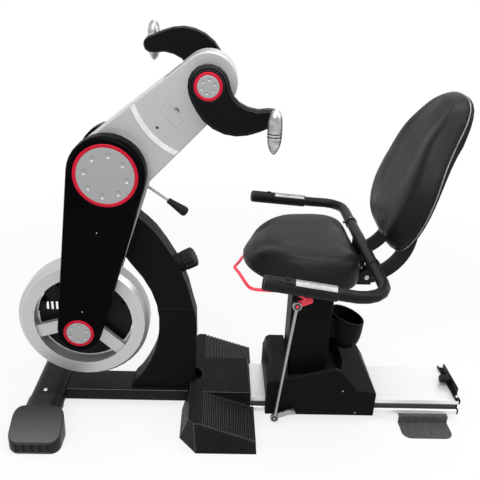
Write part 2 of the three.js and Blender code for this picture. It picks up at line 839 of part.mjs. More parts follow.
// Drive inside the near cover: jackshaft on the tilt axis, belt, and the flywheel's pulley

const jackPulleyRadius = 78;
const axlePulleyRadius = 26;
const driveBeltInner = 68;
const driveBeltOuter = 88;
const beltThick = 3;
const pulleyFlange = 2;
const armBeltInner = 35;
const armBeltOuter = 43;
const jackSmallRadius = 28;
const crankPulleyRadius = 56;
const shaftEnd = 92;

function beltLoop(x1, z1, r1, x2, z2, r2, low, high) {
  return cut(
    prismY(roundTwo(x1, z1, r1 + beltThick, x2, z2, r2 + beltThick, 24, 14), low, high),
    prismY(roundTwo(x1, z1, r1 + seatGap, x2, z2, r2 + seatGap, 24, 14), low - overrun, high + overrun),
  );
}

add('jackshaft', join(
  rodY(pivotX, pivotZ, jackRadius, -shaftEnd, armBeltOuter),
  rodY(pivotX, pivotZ, jackPulleyRadius, -driveBeltOuter, -driveBeltInner, 24),
  rodY(pivotX, pivotZ, jackPulleyRadius + pulleyFlange,
    -driveBeltOuter - pulleyFlange, -driveBeltOuter - seatGap, 20),
  rodY(pivotX, pivotZ, jackSmallRadius, armBeltInner, armBeltOuter, 18),
), steel);
add('drive_belt', beltLoop(
  pivotX, pivotZ, jackPulleyRadius, axleX, axleZ, axlePulleyRadius, -driveBeltOuter, -driveBeltInner), rubber);

// Flywheel with three spokes, its axle and pulley, and the fixed magnet plate inside the rim

const rimInner = 147;
const rimFace = 184;
const rimOuter = 196;
const rimHalf = 38;
const rimBevelHalf = 24;
const hubRadius = 28;
const hubNear = -40;
const hubFar = 3;
const spokeHalf = 20;
const spokeNear = -30;
const spokeFar = -12;
const spokeCount = 3;
const spokeTurn = THREE.MathUtils.degToRad(197);

function spoke(i) {
  const a = spokeTurn + 2 * Math.PI * i / spokeCount;
  return block(hubRadius / 2, rimInner + runGap, spokeNear, spokeFar, -spokeHalf, spokeHalf)
    .rotateY(-a).translate(axleX, 0, axleZ);
}

add('flywheel', cut(
  join(
    turnedY([[rimInner, -rimHalf], [rimFace, -rimHalf], [rimOuter, -rimBevelHalf], [rimOuter, rimBevelHalf],
      [rimFace, rimHalf], [rimInner, rimHalf], [rimInner, -rimHalf]], axleX, axleZ, 40),
    rodY(axleX, axleZ, hubRadius, hubNear, hubFar, 20),
    ...Array.from({ length: spokeCount }, (_, i) => spoke(i)),
  ),
  rodY(axleX, axleZ, axleRadius + seatGap, -rimHalf - overrun, rimHalf + overrun),
), silverPaint);
add('flywheel_axle', join(
  rodY(axleX, axleZ, axleRadius, -shaftEnd, shaftEnd),
  rodY(axleX, axleZ, axlePulleyRadius, -driveBeltOuter, -driveBeltInner, 18),
  rodY(axleX, axleZ, axlePulleyRadius + pulleyFlange,
    -driveBeltOuter - pulleyFlange, -driveBeltOuter - seatGap, 20),
), steel);

const magnetPlateNear = 5;
const magnetPlateFar = 12;
const magnetPlateRadius = 143;
const magnetHubRadius = 32;
const magnetInner = 122;
const magnetHalf = 18;
const magnetNear = -9;
const magnets = 6;
const slots = 5;
const slotPitch = 14;
const slotHalf = 4;
const slotHeight = 30;
const slotReach = 130;
const slotRise = 13;
const slotX = axleX - slotReach;
const slotZ = axleZ + slotRise;

function magnet(i) {
  const a = Math.PI * (i + 0.5) / magnets;
  const body = block(magnetInner, magnetPlateRadius - runGap, magnetNear, magnetPlateNear + runGap,
    -magnetHalf, magnetHalf);
  return body.rotateY(-a).translate(axleX, 0, axleZ);
}

add('brake_plate', cut(
  join(
    rodY(axleX, axleZ, magnetPlateRadius, magnetPlateNear, magnetPlateFar, 32),
    rodY(axleX, axleZ, magnetHubRadius, magnetPlateNear, plateInnerHalf - seatGap, 24),
    ...Array.from({ length: magnets }, (_, i) => magnet(i)),
  ),
  rodY(axleX, axleZ, axleRadius + runGap, magnetPlateNear - overrun, plateInnerHalf + overrun),
  ...Array.from({ length: slots }, (_, i) => {
    const x = slotX + i * slotPitch;
    return block(x - slotHalf, x + slotHalf, magnetPlateNear - overrun, magnetPlateFar + overrun,
      slotZ, slotZ + slotHeight);
  }),
), blackPaint);

// Tilting arm: two side plates and a top web, with the belt from the cranks inside

const armRootRadius = 98;
const armEndRadius = 74;
const armEdge = 2.5;
const ridgeRadius = 206;
const ridgeHalf = 7;
const ridgeHeight = 2.6;
const panelAlong = 229;
const panelSquare = 0;
const panelHalfAlong = 15;
const panelHalfSquare = 30;
const panelLip = 4;
const panelLipThick = 2;
const notchHalf = 9.5;
const ventAlong = 178;
const ventRadius = 4.5;
const crankAxleRadius = 12;

function armOutline(shrink) {
  return roundTwo(pivotX, pivotZ, armRootRadius - shrink, crankX, crankZ, armEndRadius - shrink, 20, 16);
}

function armRectangle(along, square, halfAlong, halfSquare, low, high) {
  const corners = [[-1, -1], [1, -1], [1, 1], [-1, 1]];
  return prismY(corners.map(([a, b]) => onArm(along + a * halfAlong, square + b * halfSquare)), low, high);
}

function armSide() {
  const ridge = common(
    ringY(crankX, crankZ, ridgeRadius - ridgeHalf, ridgeRadius + ridgeHalf,
      armInnerHalf + runGap, armOuterHalf + ridgeHeight, 64),
    prismY(armOutline(armEdge + runGap), armInnerHalf, armOuterHalf + 2 * ridgeHeight),
  );
  const body = join(
    loftY([[armOutline(0), armInnerHalf], [armOutline(0), armOuterHalf - armEdge],
      [armOutline(armEdge), armOuterHalf]]),
    ridge,
  );
  return cut(
    body,
    rodY(pivotX, pivotZ, bushRadius + 2 * seatGap, armInnerHalf - overrun, armOuterHalf + overrun, 20),
    rodY(crankX, crankZ, crankAxleRadius + seatGap, armInnerHalf - overrun, armOuterHalf + overrun),
  );
}

const [ventX, ventZ] = onArm(ventAlong, panelSquare);
const [thumbX, thumbZ] = onArm(panelAlong + panelHalfAlong + seatGap, panelSquare);

function thumbNotch() {
  return common(
    rodY(thumbX, thumbZ, notchHalf, -armOuterHalf - overrun, -armInnerHalf + overrun, 20),
    armRectangle(panelAlong + 2 * panelHalfAlong, panelSquare, panelHalfAlong - seatGap, panelHalfSquare,
      -armOuterHalf - overrun, -armInnerHalf + overrun),
  );
}

add('arm_side_far', armSide(), silverPaint);
add('arm_side_near', cut(
  mirrorY(armSide()),
  armRectangle(panelAlong, panelSquare, panelHalfAlong + seatGap, panelHalfSquare + seatGap,
    -armOuterHalf - overrun, -armInnerHalf + overrun),
  thumbNotch(),
  rodY(ventX, ventZ, ventRadius, -armOuterHalf - overrun, -armInnerHalf + overrun, 12),
), silverPaint);
add('arm_access_panel', join(
  armRectangle(panelAlong, panelSquare, panelHalfAlong, panelHalfSquare,
    -armOuterHalf, -armInnerHalf + seatGap + runGap),
  armRectangle(panelAlong, panelSquare, panelHalfAlong + panelLip, panelHalfSquare + panelLip,
    -armInnerHalf + seatGap, -armInnerHalf + seatGap + panelLipThick),
), silverPaint);

const webThick = 3;
const webSlotFrom = 268;
const webSlotTo = 330;
const webSlotHalf = 30;
const webStart = armAngle + THREE.MathUtils.degToRad(-55);
const webEnd = armAngle + THREE.MathUtils.degToRad(150);

// The web follows the upper edge of the side plates, from the crank end round to the tilt end.
function webLine(shrink) {
  const lean = Math.acos((armRootRadius - armEndRadius) / armLength);
  return [
    ...arcPoints(crankX, crankZ, armEndRadius - shrink, webStart, armAngle + lean, 16),
    ...arcPoints(pivotX, pivotZ, armRootRadius - shrink, armAngle + lean, webEnd, 10),
  ];
}

const webSlotLow = armEndRadius - overrun - webThick;
add('arm_top_web', cut(
  prismY([...webLine(0), ...webLine(webThick).reverse()], -armInnerHalf + seatGap, armInnerHalf - seatGap),
  prismY([
    onArm(webSlotFrom, webSlotLow), onArm(webSlotTo, webSlotLow),
    onArm(webSlotTo, armRootRadius + overrun), onArm(webSlotFrom, armRootRadius + overrun),
  ], -webSlotHalf, webSlotHalf),
), silverPaint);
add('arm_belt', beltLoop(
  crankX, crankZ, crankPulleyRadius, pivotX, pivotZ, jackSmallRadius, armBeltInner, armBeltOuter), rubber);

// Cranks: two curved arms half a turn apart, each with a spindle and a free hand grip

const crankInner = 90;
const crankOuter = 118;
const crankEdge = 6;
const crankBossRadius = 40;
const throwX = 163;
const throwZ = -82;
const crankReach = 190;
const crankShares = [
  [-0.14, 0.235], [-0.24, 0.13], [-0.27, 0], [-0.25, -0.13], [-0.17, -0.3], [-0.04, -0.475], [0.16, -0.6],
  [0.38, -0.645], [0.6, -0.61], [0.8, -0.525], [0.92, -0.47], [0.96, -0.39], [0.93, -0.3], [0.85, -0.265],
  [0.66, -0.285], [0.47, -0.235], [0.34, -0.13], [0.285, 0], [0.24, 0.14], [0.13, 0.24], [0, 0.272],
];
const spindleRadius = 6;
const handleY = 190;
const handleRadius = 18;
const handleLength = 110;
const handleDrop = 8;
const hubDiscRadius = 27.5;
const hubRingOuter = 35.5;
const hubCollar = 40;
const hubCollarHeight = 3;
const hubDimpleRadius = 4;
const hubDimpleShare = 0.61;

function crankArm(side) {
  const line = smoothLine(crankShares.map(([sx, sz]) => [sx * crankReach, sz * crankReach]), true);
  const outline = line.getPoints(30).slice(0, -1).map((p) => [crankX - side * p.x, crankZ - side * p.y]);
  const anticlockwise = THREE.ShapeUtils.area(outline.map(([x, y]) => new THREE.Vector2(x, y))) > 0;
  const ordered = anticlockwise ? outline : outline.slice().reverse();
  const levels = [[inset(ordered, crankEdge / 2), crankInner], [ordered, crankInner + crankEdge / 2],
    [ordered, crankOuter - crankEdge], [inset(ordered, crankEdge), crankOuter]];
  const far = join(
    loftY(levels),
    rodY(crankX, crankZ, crankBossRadius, armOuterHalf + ridgeHeight + runGap, crankInner + overrun, 20),
    rodY(crankX, crankZ, hubCollar, crankOuter - overrun, crankOuter + hubCollarHeight, 24),
    rodY(crankX - side * throwX, crankZ - side * throwZ, spindleRadius, crankOuter - overrun, handleY, 12),
  );
  const bored = cut(
    far,
    rodY(crankX, crankZ, crankAxleRadius + seatGap, armOuterHalf, crankOuter),
    rodY(crankX, crankZ, hubRingOuter + runGap, crankOuter, crankOuter + 2 * hubCollarHeight, 24),
  );
  return side > 0 ? bored : mirrorY(bored);
}

add('crank_arm_far', crankArm(1), blackPlastic);
add('crank_arm_near', crankArm(-1), blackPlastic);
add('crank_axle', join(
  rodY(crankX, crankZ, crankAxleRadius, -crankOuter + runGap, crankOuter - runGap),
  rodY(crankX, crankZ, crankPulleyRadius, armBeltInner, armBeltOuter, 24),
), steel);

const hubFace = crankOuter + seatGap;
const hubCap = trimCap(hubDiscRadius, hubRingOuter, hubFace, smallDimples, hubDimpleRadius, hubDimpleShare)
  .translate(crankX, 0, crankZ);
add('crank_cap_far', hubCap, silverPaint);
add('crank_cap_near', mirrorY(hubCap), silverPaint);

const handleShares = [[0, -0.5], [0.3, -0.485], [0.66, -0.41], [0.92, -0.26], [1, -0.13],
  [0.93, -0.11], [1, -0.085], [1, -0.045], [0.93, -0.025], [1, 0],
  [1, 0.16], [0.9, 0.3], [0.62, 0.42], [0, 0.5]];

function handle(side) {
  const x = crankX - side * throwX;
  const z = crankZ - side * throwZ;
  const body = new THREE.LatheGeometry(
    handleShares.map(([r, h]) => new THREE.Vector2(r * handleRadius, h * handleLength)), 16)
    .rotateX(Math.PI / 2).translate(x, side * handleY, z - handleDrop);
  const bore = side > 0
    ? rodY(x, z, spindleRadius + seatGap, handleY - 2 * handleRadius, handleY + seatGap, 14)
    : rodY(x, z, spindleRadius + seatGap, -handleY - seatGap, -handleY + 2 * handleRadius, 14);
  return cut(body, bore);
}

add('crank_handle_far', handle(1), chrome);
add('crank_handle_near', handle(-1), chrome);

// Seat carriage: a cover that straddles the rail, glides in the rail's grooves, and a column

const carriageFront = 150;
const carriageRear = 491;
const carriageHalf = 112;
const carriageBottom = 38;
const sideShares = [
  [0, 0], [1, 0], [0.985, 0.505], [0.82, 0.54], [0.655, 0.94], [0.61, 0.985], [0.17, 0.745], [0, 0.675],
];
const carriageRise = 173;
const shelfTop = 150;
const humpTop = 211;
const humpHalf = 72;
const columnFront = 213;
const columnRear = 340;
const columnHalf = 60;
const columnTop = 470;
const columnRound = 14;
const columnWall = 6;
const backHumpFront = 372;
const backHumpTopFront = 388;
const backHumpTopRear = 452;
const backHumpTop = 200;
const backHumpHalf = 50;
const backHumpBase = 126;
const sideSheet = 12;
const carriageWall = 7;
const chassisSheet = 2.5;
const chassisHalf = railHalf + runGap + chassisSheet;
const chassisTop = railTop + seatGap + chassisSheet;
const shaftPlaceX = 235;
const shaftPlaceZ = 56;
const shaftRadius = 6;

function bothSides(points) {
  return points.flatMap(([x, y, z]) => [[x, y, z], [x, -y, z]]);
}

const carriageSide = sideShares.map(([sx, sz]) => [
  carriageFront + sx * (carriageRear - carriageFront), carriageBottom + sz * carriageRise]);

add('carriage_cover', cut(
  join(
    prismY(carriageSide, carriageHalf - sideSheet, carriageHalf),
    prismY(carriageSide, -carriageHalf, -carriageHalf + sideSheet),
    block(carriageFront, backHumpFront + overrun,
      -carriageHalf + sideSheet / 2, carriageHalf - sideSheet / 2, carriageBottom, shelfTop),
    hull(bothSides([
      [carriageFront, carriageHalf, carriageBottom], [carriageFront, carriageHalf, shelfTop],
      [columnFront - seatGap, carriageHalf, carriageBottom],
      [columnFront - seatGap, carriageHalf, shelfTop],
      [carriageFront + overrun, humpHalf + overrun, humpTop - 2 * overrun],
      [carriageFront + 3 * overrun, humpHalf, humpTop], [columnFront - seatGap, humpHalf, humpTop],
    ])),
    hull(bothSides([
      [backHumpFront, carriageHalf, carriageBottom], [backHumpFront, carriageHalf, backHumpBase],
      [carriageRear, carriageHalf, carriageBottom], [carriageRear, carriageHalf, backHumpBase - overrun],
      [backHumpTopFront, backHumpHalf, backHumpTop], [backHumpTopRear, backHumpHalf, backHumpTop - overrun],
    ])),
  ),
  block(carriageFront - overrun, carriageRear + overrun, -chassisHalf - seatGap, chassisHalf + seatGap,
    carriageBottom - overrun, chassisTop + seatGap),
  block(carriageFront + carriageWall, columnRear, -carriageHalf + carriageWall, carriageHalf - carriageWall,
    railTop, shelfTop - carriageWall),
  block(columnRear - overrun, carriageRear - carriageWall,
    -carriageHalf + carriageWall, carriageHalf - carriageWall, railTop, backHumpBase - carriageWall),
  rodY(shaftPlaceX, shaftPlaceZ, shaftRadius + seatGap, -carriageHalf - overrun, -railHalf),
), blackPlastic);

const glideLength = 60;
const glideInset = 24;

// A bar of the chassis on one side, from the outer skin in to a given half width.
function chassisBar(x0, side, inner, top) {
  return block(x0, x0 + glideLength, Math.min(side * inner, side * chassisHalf),
    Math.max(side * inner, side * chassisHalf), grooveBottom + runGap, top);
}

function chassisGlide(x0, side) {
  return chassisBar(x0, side, railHalf - grooveDepth + runGap, grooveTop - runGap);
}

function chassisLeg(x0, side) {
  return chassisBar(x0, side, chassisHalf - chassisSheet, chassisTop);
}

const chassisEnds = [carriageFront + glideInset, carriageRear - glideInset - glideLength];
add('carriage_chassis', join(
  block(carriageFront + glideInset, carriageRear - glideInset, -chassisHalf, chassisHalf,
    railTop + seatGap, chassisTop),
  ...chassisEnds.flatMap((x0) => [1, -1].flatMap((side) => [chassisGlide(x0, side), chassisLeg(x0, side)])),
), steel);

const leverShaftX = 252;
const leverShaftZ = 452;
const leverShaftRadius = 6;
const columnPlan = roundedBox2(columnFront, columnRear, -columnHalf, columnHalf, columnRound, 4);
add('seat_column', cut(
  prismZ(columnPlan, shelfTop + seatGap, columnTop),
  block(columnFront + columnWall, columnRear - columnWall,
    -columnHalf + columnWall, columnHalf - columnWall, shelfTop - overrun, columnTop - columnWall),
  rodY(leverShaftX, leverShaftZ, leverShaftRadius + seatGap,
    -columnHalf - overrun, columnHalf + overrun, 16),
), blackPaint);

// Cup holder behind the column: an upright cup with a sloping mouth

const cupX = 398;
const cupRadius = 55;
const cupFloor = 229;
const cupWall = 3;
const cupFrontTop = 355;
const cupRearTop = 318;
const cupTabHalf = 28;
const cupTabBottom = 270;
const cupTabTop = 335;
const cupSideShares = [[0.42, 0], [0.62, 0.045], [0.77, 0.14], [0.87, 0.28], [0.92, 0.42], [1, 1]];

// The cup's round body: its side as shares of its radius and of its height.
function cupBody(shrink, floor) {
  const side = cupSideShares.map(([r, h]) => [cupRadius * r - shrink, floor + (cupFrontTop - cupFloor) * h]);
  return turnedY([[0, floor], ...side, [0, floor + cupFrontTop - cupFloor]], 0, 0, 24)
    .rotateX(Math.PI / 2).translate(cupX, 0, 0);
}

add('cup_holder', cut(
  join(
    cupBody(0, cupFloor),
    block(columnRear + seatGap, cupX, -cupTabHalf, cupTabHalf, cupTabBottom, cupTabTop),
  ),
  cupBody(cupWall, cupFloor + cupWall),
  prismY([
    [cupX - cupRadius, cupFrontTop], [cupX + cupRadius, cupRearTop], [cupX + cupRadius + overrun, cupRearTop],
    [cupX + cupRadius + overrun, cupFrontTop + 2 * overrun], [cupX - cupRadius, cupFrontTop + 2 * overrun],
  ], -cupRadius - overrun, cupRadius + overrun),
), blackPlastic);

// Seat: a moulded pan under a saddle-shaped cushion

const seatFront = 63;
const seatRear = 396;
const seatHalf = 194;
const seatLength = seatRear - seatFront;
const seatPlanShares = [
  [0, 0], [0.035, 0.3], [0.14, 0.58], [0.28, 0.8], [0.42, 0.94], [0.6, 1], [0.78, 0.98], [0.9, 0.86],
  [0.97, 0.6], [1, 0.3],
];
const seatBottom = 514;
const seatRise = 92;
const seatRingShares = [
  [0.955, 0], [0.985, 0.1], [1, 0.29], [0.985, 0.5], [0.93, 0.72], [0.83, 0.89], [0.62, 0.99], [0.36, 1],
];
const saddleDipShare = 0.12;
const noseDropShare = 0.3;
const noseShare = 0.35;
const swellFromShare = 0.36;

function seatPlan(steps) {
  const loop = [...seatPlanShares, ...seatPlanShares.slice(1).reverse().map(([sx, sy]) => [sx, -sy])];
  return smoothLine(loop, true).getPoints(steps).slice(0, -1).map((p) => [p.x, p.y]).reverse();
}

// Height of the cushion's top over its bottom, as a share of the rise: sides up, nose and middle down.
function seatSwell(sx, sy) {
  const nose = Math.max(0, 1 - sx / noseShare);
  const sideLift = sy * sy * Math.min(1, sx / noseShare);
  return 1 - noseDropShare * nose * nose - saddleDipShare * (1 - sideLift);
}

const seatCentreShare = 0.56;
const seatSteps = 44;

function seatRing(scale, rise) {
  return seatPlan(seatSteps).map(([sx, sy]) => {
    const x = seatCentreShare + (sx - seatCentreShare) * scale;
    const y = sy * scale;
    return new THREE.Vector3(
      seatFront + x * seatLength,
      y * seatHalf,
      seatBottom + rise * seatRise * (rise > swellFromShare ? seatSwell(x, y) : 1),
    );
  });
}

add('seat_cushion', loft(seatRingShares.map(([scale, rise]) => seatRing(scale, rise))), vinyl);

const panFront = 98;
const panRear = 362;
const panBottom = columnTop + seatGap;
const panTop = seatBottom - seatGap;
const panHalf = 150;
const panLowShare = 0.62;
const panMiddleShare = 0.89;
const panEdge = 6;
const panTongueHalf = 50;
const tabThick = 5;
const panLoop = (scale, z) => seatPlan(36).map(([sx, sy]) => new THREE.Vector3(
  (panFront + panRear) / 2 + (sx - 1 / 2) * scale * (panRear - panFront), sy * scale * panHalf, z));

add('seat_pan', join(
  loft([panLoop(panLowShare, panBottom), panLoop(panMiddleShare, (panBottom + panTop) / 2),
    panLoop(1, panTop - panEdge), panLoop(1, panTop)]),
  block((panFront + panRear) / 2, panRear, -panTongueHalf, panTongueHalf,
    panBottom + tabThick, panTop - tabThick),
), blackPlastic);

// Seat release: a bent rod loop in front of the seat, a link rod and a lock arm on the carriage

const loopHalf = 125;
const loopNoseX = 38;
const loopNoseZ = 490;
const loopCornerX = 82;
const loopCornerZ = 484;
const loopRodRadius = 5;
const loopBend = 16;
const loopDrop = 3;
const linkTopX = 217;
const linkTopZ = 437;
const tabRadius = 10;
const linkPinRadius = 5;
const linkBottomX = 178;
const linkBottomZ = 40;
const linkEye = 13;
const linkEyeBore = 5.5;
const linkHalf = 4;
const linkRodRadius = 4.5;
const linkY = -(loopHalf + tabThick / 2 + runGap + linkHalf);

const loopPath = (side) => [
  [leverShaftX - tabRadius, side * loopHalf, leverShaftZ + tabRadius / 2],
  [loopCornerX + 3 * loopBend, side * loopHalf, loopCornerZ - loopDrop],
  [loopCornerX + loopBend, side * loopHalf, loopCornerZ],
  [loopCornerX - loopBend / 4, side * (loopHalf - loopBend / 2), loopCornerZ],
  [loopNoseX + loopBend, side * 2 * loopBend, loopNoseZ],
];
const loopPoints = [...loopPath(-1), [loopNoseX, 0, loopNoseZ], ...loopPath(1).reverse()];

function leverTab(side) {
  const y0 = side * loopHalf - tabThick / 2;
  const outline = roundTwo(
    leverShaftX, leverShaftZ, tabRadius, linkTopX, linkTopZ, tabRadius - runGap, 10, 10);
  return prismY(outline, y0, y0 + tabThick);
}

add('release_lever', join(
  tube(loopPoints, loopRodRadius, 8, 24),
  leverTab(-1),
  leverTab(1),
  rodY(leverShaftX, leverShaftZ, leverShaftRadius, -loopHalf - tabThick / 2, loopHalf + tabThick / 2, 16),
  rodY(linkTopX, linkTopZ, linkPinRadius, -loopHalf - 2 * linkHalf - tabThick - runGap, -loopHalf, 16),
), redPlastic);

const linkLength = Math.hypot(linkTopX - linkBottomX, linkTopZ - linkBottomZ);
const linkLean = Math.atan2(linkTopX - linkBottomX, linkTopZ - linkBottomZ);

add('link_rod', cut(
  join(
    rodY(linkTopX, linkTopZ, linkEye, linkY - linkHalf, linkY + linkHalf, 16),
    rodY(linkBottomX, linkBottomZ, linkEye, linkY - linkHalf, linkY + linkHalf, 16),
    new THREE.CylinderGeometry(linkRodRadius, linkRodRadius, linkLength - linkEye, 12)
      .rotateX(Math.PI / 2).rotateY(linkLean)
      .translate((linkTopX + linkBottomX) / 2, linkY, (linkTopZ + linkBottomZ) / 2),
  ),
  rodY(linkTopX, linkTopZ, linkPinRadius + seatGap, linkY - 2 * linkHalf, linkY + 2 * linkHalf, 12),
  rodY(linkBottomX, linkBottomZ, linkEyeBore, linkY - 2 * linkHalf, linkY + 2 * linkHalf, 12),
), chrome);

const lockArmY0 = linkY + linkHalf + runGap;
const lockArmThick = 6;
const lockPinRadius = 4;
const lockKneeX = 200;
const lockKneeZ = 47;
const lockArmHalf = 8;
const lockElbow = 15;
const lockPoints = [
  [linkBottomX, linkBottomZ], [lockKneeX, lockKneeZ], [shaftPlaceX - lockElbow, shaftPlaceZ],
  [shaftPlaceX, shaftPlaceZ],
];

function lockLink(i) {
  const [x0, z0] = lockPoints[i];
  const [x1, z1] = lockPoints[i + 1];
  const outline = roundTwo(x0, z0, lockArmHalf + runGap, x1, z1, lockArmHalf, 8, 8);
  return prismY(outline, lockArmY0, lockArmY0 + lockArmThick);
}

add('lock_arm', join(
  lockLink(0),
  lockLink(1),
  lockLink(2),
  rodY(shaftPlaceX, shaftPlaceZ, shaftRadius, lockArmY0 - lockArmThick / 2, -chassisHalf - runGap, 16),
  rodY(linkBottomX, linkBottomZ, lockPinRadius,
    linkY - linkHalf - runGap, lockArmY0 + lockArmThick / 2, 14),
), steel);

// Backrest carrier: a bracket behind the seat holds the recline shaft and the handlebar tube

const barX = 410;
const barZ = 583;
const barRadius = 16;
const bracketFront = panRear + seatGap;
const bracketRear = 437;
const bracketBottom = 476;
const bracketInner = 56;
const bracketOuter = 64;
const bracketStep = 398;
const bracketStepZ = 508;
const bracketHead = 20;
const bracketTieZ = 540;
const bowX = 385;
const bowZ = 648.5;
const bowRadius = 136;
const bowSteps = 12;
const bowFrom = THREE.MathUtils.degToRad(-78);
const bowTo = THREE.MathUtils.degToRad(8);
const reclineX = bowX + bowRadius * Math.cos(bowFrom);
const reclineZ = bowZ + bowRadius * Math.sin(bowFrom);
const reclineRadius = 8;

const bracketOutline = [
  [bracketFront, bracketBottom], [bracketRear, bracketBottom], [bracketRear, barZ - 2 * bracketHead],
  [barX + bracketHead, barZ], [bracketStep, barZ], [bracketStep, bracketStepZ],
  [bracketFront, bracketStepZ - 2 * runGap],
];
const bracketBridge = bracketInner + runGap;

add('recline_bracket', cut(
  join(
    prismY(bracketOutline, bracketInner, bracketOuter),
    prismY(bracketOutline, -bracketOuter, -bracketInner),
    block(bracketFront, bracketRear, -bracketBridge, bracketBridge, bracketBottom, bracketBottom + tabThick),
    block(bracketFront, bracketFront + tabThick, -bracketBridge, bracketBridge,
      bracketBottom, bracketStepZ - 2 * runGap),
    block(bracketStep, bracketRear, -bracketBridge, bracketBridge, bracketTieZ - tabThick, bracketTieZ),
  ),
  rodY(reclineX, reclineZ, reclineRadius + seatGap, -bracketOuter - overrun, bracketOuter + overrun, 20),
  rodY(barX, barZ, barRadius + seatGap, -bracketOuter - overrun, bracketOuter + overrun, 24),
), blackPaint);

// Backrest: two curved flat bars, a moulded shell and a padded cushion

const backBarInner = 83;
const backBarOuter = 95;
const backBarHalf = 20.5;

const backBarOutline = [
  ...arcPoints(bowX, bowZ, bowRadius + backBarHalf, bowFrom, bowTo, bowSteps),
  ...arcPoints(bowX, bowZ, bowRadius - backBarHalf, bowTo, bowFrom, bowSteps),
];

const shellFootX = 498;
const shellFootZ = 590;
const backLean = THREE.MathUtils.degToRad(15);
const backRise = 452;
const backHalf = 187;
const backBow = 24;
const backBowShares = [0.55, 0.95];
const backPlanShares = [
  [0, 0], [0.3, 0.005], [0.56, 0.03], [0.78, 0.1], [0.93, 0.2], [1, 0.33], [0.975, 0.47], [0.86, 0.62],
  [0.72, 0.75], [0.62, 0.86], [0.49, 0.945], [0.28, 0.99],
];

// A point of the backrest: across the seat, up along the back, and forward out of it.
// The back leans, and its top bows further backwards.
function onBack(across, up, forward) {
  const s = Math.sin(backLean);
  const c = Math.cos(backLean);
  const out = forward - backBow * THREE.MathUtils.smoothstep(up / backRise, ...backBowShares);
  return new THREE.Vector3(shellFootX + up * s - out * c, across, shellFootZ + up * c + out * s);
}

function backPlan(steps) {
  const mirrored = backPlanShares.slice(1).reverse().map(([sy, sz]) => [-sy, sz]);
  const line = smoothLine([...backPlanShares, [0, 1], ...mirrored], true);
  return line.getPoints(steps).slice(0, -1).map((p) => [p.x, p.y]);
}

const backCentreShare = 0.45;
const backSteps = 48;
const headShares = [0.55, 0.9];
const headShrinkShare = 0.4;

// One ring of the backrest. Rings shrink less towards the head, where the back is fuller.
function backRing(scale, depthAt) {
  return backPlan(backSteps).map(([sy, sz]) => {
    const head = THREE.MathUtils.smoothstep(sz, ...headShares);
    const size = 1 - (1 - scale) * (1 - (1 - headShrinkShare) * head);
    const up = backCentreShare + (sz - backCentreShare) * size;
    return onBack(sy * size * backHalf, up * backRise, depthAt(up));
  });
}

const seamForward = 12;
const cushionDepth = 48;
const lumbarSwell = 8;
const lumbarShare = 0.25;
const lumbarReachShare = 0.2;
const thinFromShare = 0.7;
const topThinShare = 0.2;

function cushionFront(share) {
  return (up) => {
    const lumbar = lumbarSwell * Math.exp(-(((up - lumbarShare) / lumbarReachShare) ** 2));
    const thin = 1 - topThinShare * Math.max(0, (up - thinFromShare) / (1 - thinFromShare));
    return seamForward + seatGap + share * (cushionDepth * thin + lumbar);
  };
}

// The way that a bar takes through the backrest, with a gap round it.
function barSlot(low, high) {
  const end = bowTo + runGap / bowRadius;
  return prismY([
    ...arcPoints(bowX, bowZ, bowRadius + backBarHalf + seatGap, bowFrom, end, bowSteps),
    ...arcPoints(bowX, bowZ, bowRadius - backBarHalf - seatGap, end, bowFrom, bowSteps),
  ], low - seatGap, high + seatGap);
}

const cushionShares = [
  [1, 0], [1, 0.12], [0.975, 0.35], [0.9, 0.72], [0.83, 0.93], [0.74, 1], [0.45, 1.03],
];
const shellEdge = 17;
const shellEdgeShares = [[0, 0.3], [0.45, 0.35], [0.7, 0.8], [0.74, 1], [1, 0.5]];
const shellBulge = 12;
const shellShares = [[1, 0], [0.93, 0.18], [0.76, 0.6], [0.5, 1]];

// A share read from pairs of place and size, straight from one pair to the next.
function shareAt(pairs, place) {
  const next = pairs.findIndex(([at]) => at > place);
  if (next === -1) return pairs[pairs.length - 1][1];
  if (next === 0) return pairs[0][1];
  const [from, low] = pairs[next - 1];
  const [to, high] = pairs[next];
  return low + (high - low) * (place - from) / (to - from);
}

function shellBack(share) {
  return (up) => seamForward - shellEdge * shareAt(shellEdgeShares, up) - share * shellBulge;
}

add('back_cushion', cut(
  loft(cushionShares.map(([size, depth]) => backRing(size, cushionFront(depth)))),
  barSlot(backBarInner, backBarOuter),
  barSlot(-backBarOuter, -backBarInner),
), vinyl);
add('back_shell', cut(
  loft([
    backRing(1, () => seamForward),
    ...shellShares.map(([size, depth]) => backRing(size, shellBack(depth))),
  ]),
  barSlot(backBarInner, backBarOuter),
  barSlot(-backBarOuter, -backBarInner),
), blackPlastic);

function backBar(low, high) {
  return join(prismY(backBarOutline, low, high), rodY(reclineX, reclineZ, backBarHalf, low, high, 14));
}

add('back_bars', join(
  backBar(backBarInner, backBarOuter),
  backBar(-backBarOuter, -backBarInner),
  rodY(reclineX, reclineZ, reclineRadius, -backBarOuter - runGap, backBarOuter + runGap, 20),
), blackPaint);

// Handlebar: a fixed cross tube behind the seat and two arms that swing up on it

const crossBarHalf = 146;
const collarRadius = 18.5;
const collarLength = 17;
const spigotRadius = 12;
const spigotLength = 40;
const armTurnY = 262;
const armTurnX = 340;
const armSpreadY = 338;
const gripTipX = 101;
const gripTipY = 316;
const gripTipZ = 606;
const gripBackX = 283;
const gripRadius = 19.5;
const gripEdge = 4;
const gripBore = barRadius + 2 * seatGap;

add('handlebar_cross_tube', cut(
  rodY(barX, barZ, barRadius, -crossBarHalf, crossBarHalf, 18),
  rodY(barX, barZ, spigotRadius + seatGap, -crossBarHalf - overrun, crossBarHalf + overrun, 20),
), blackPaint);

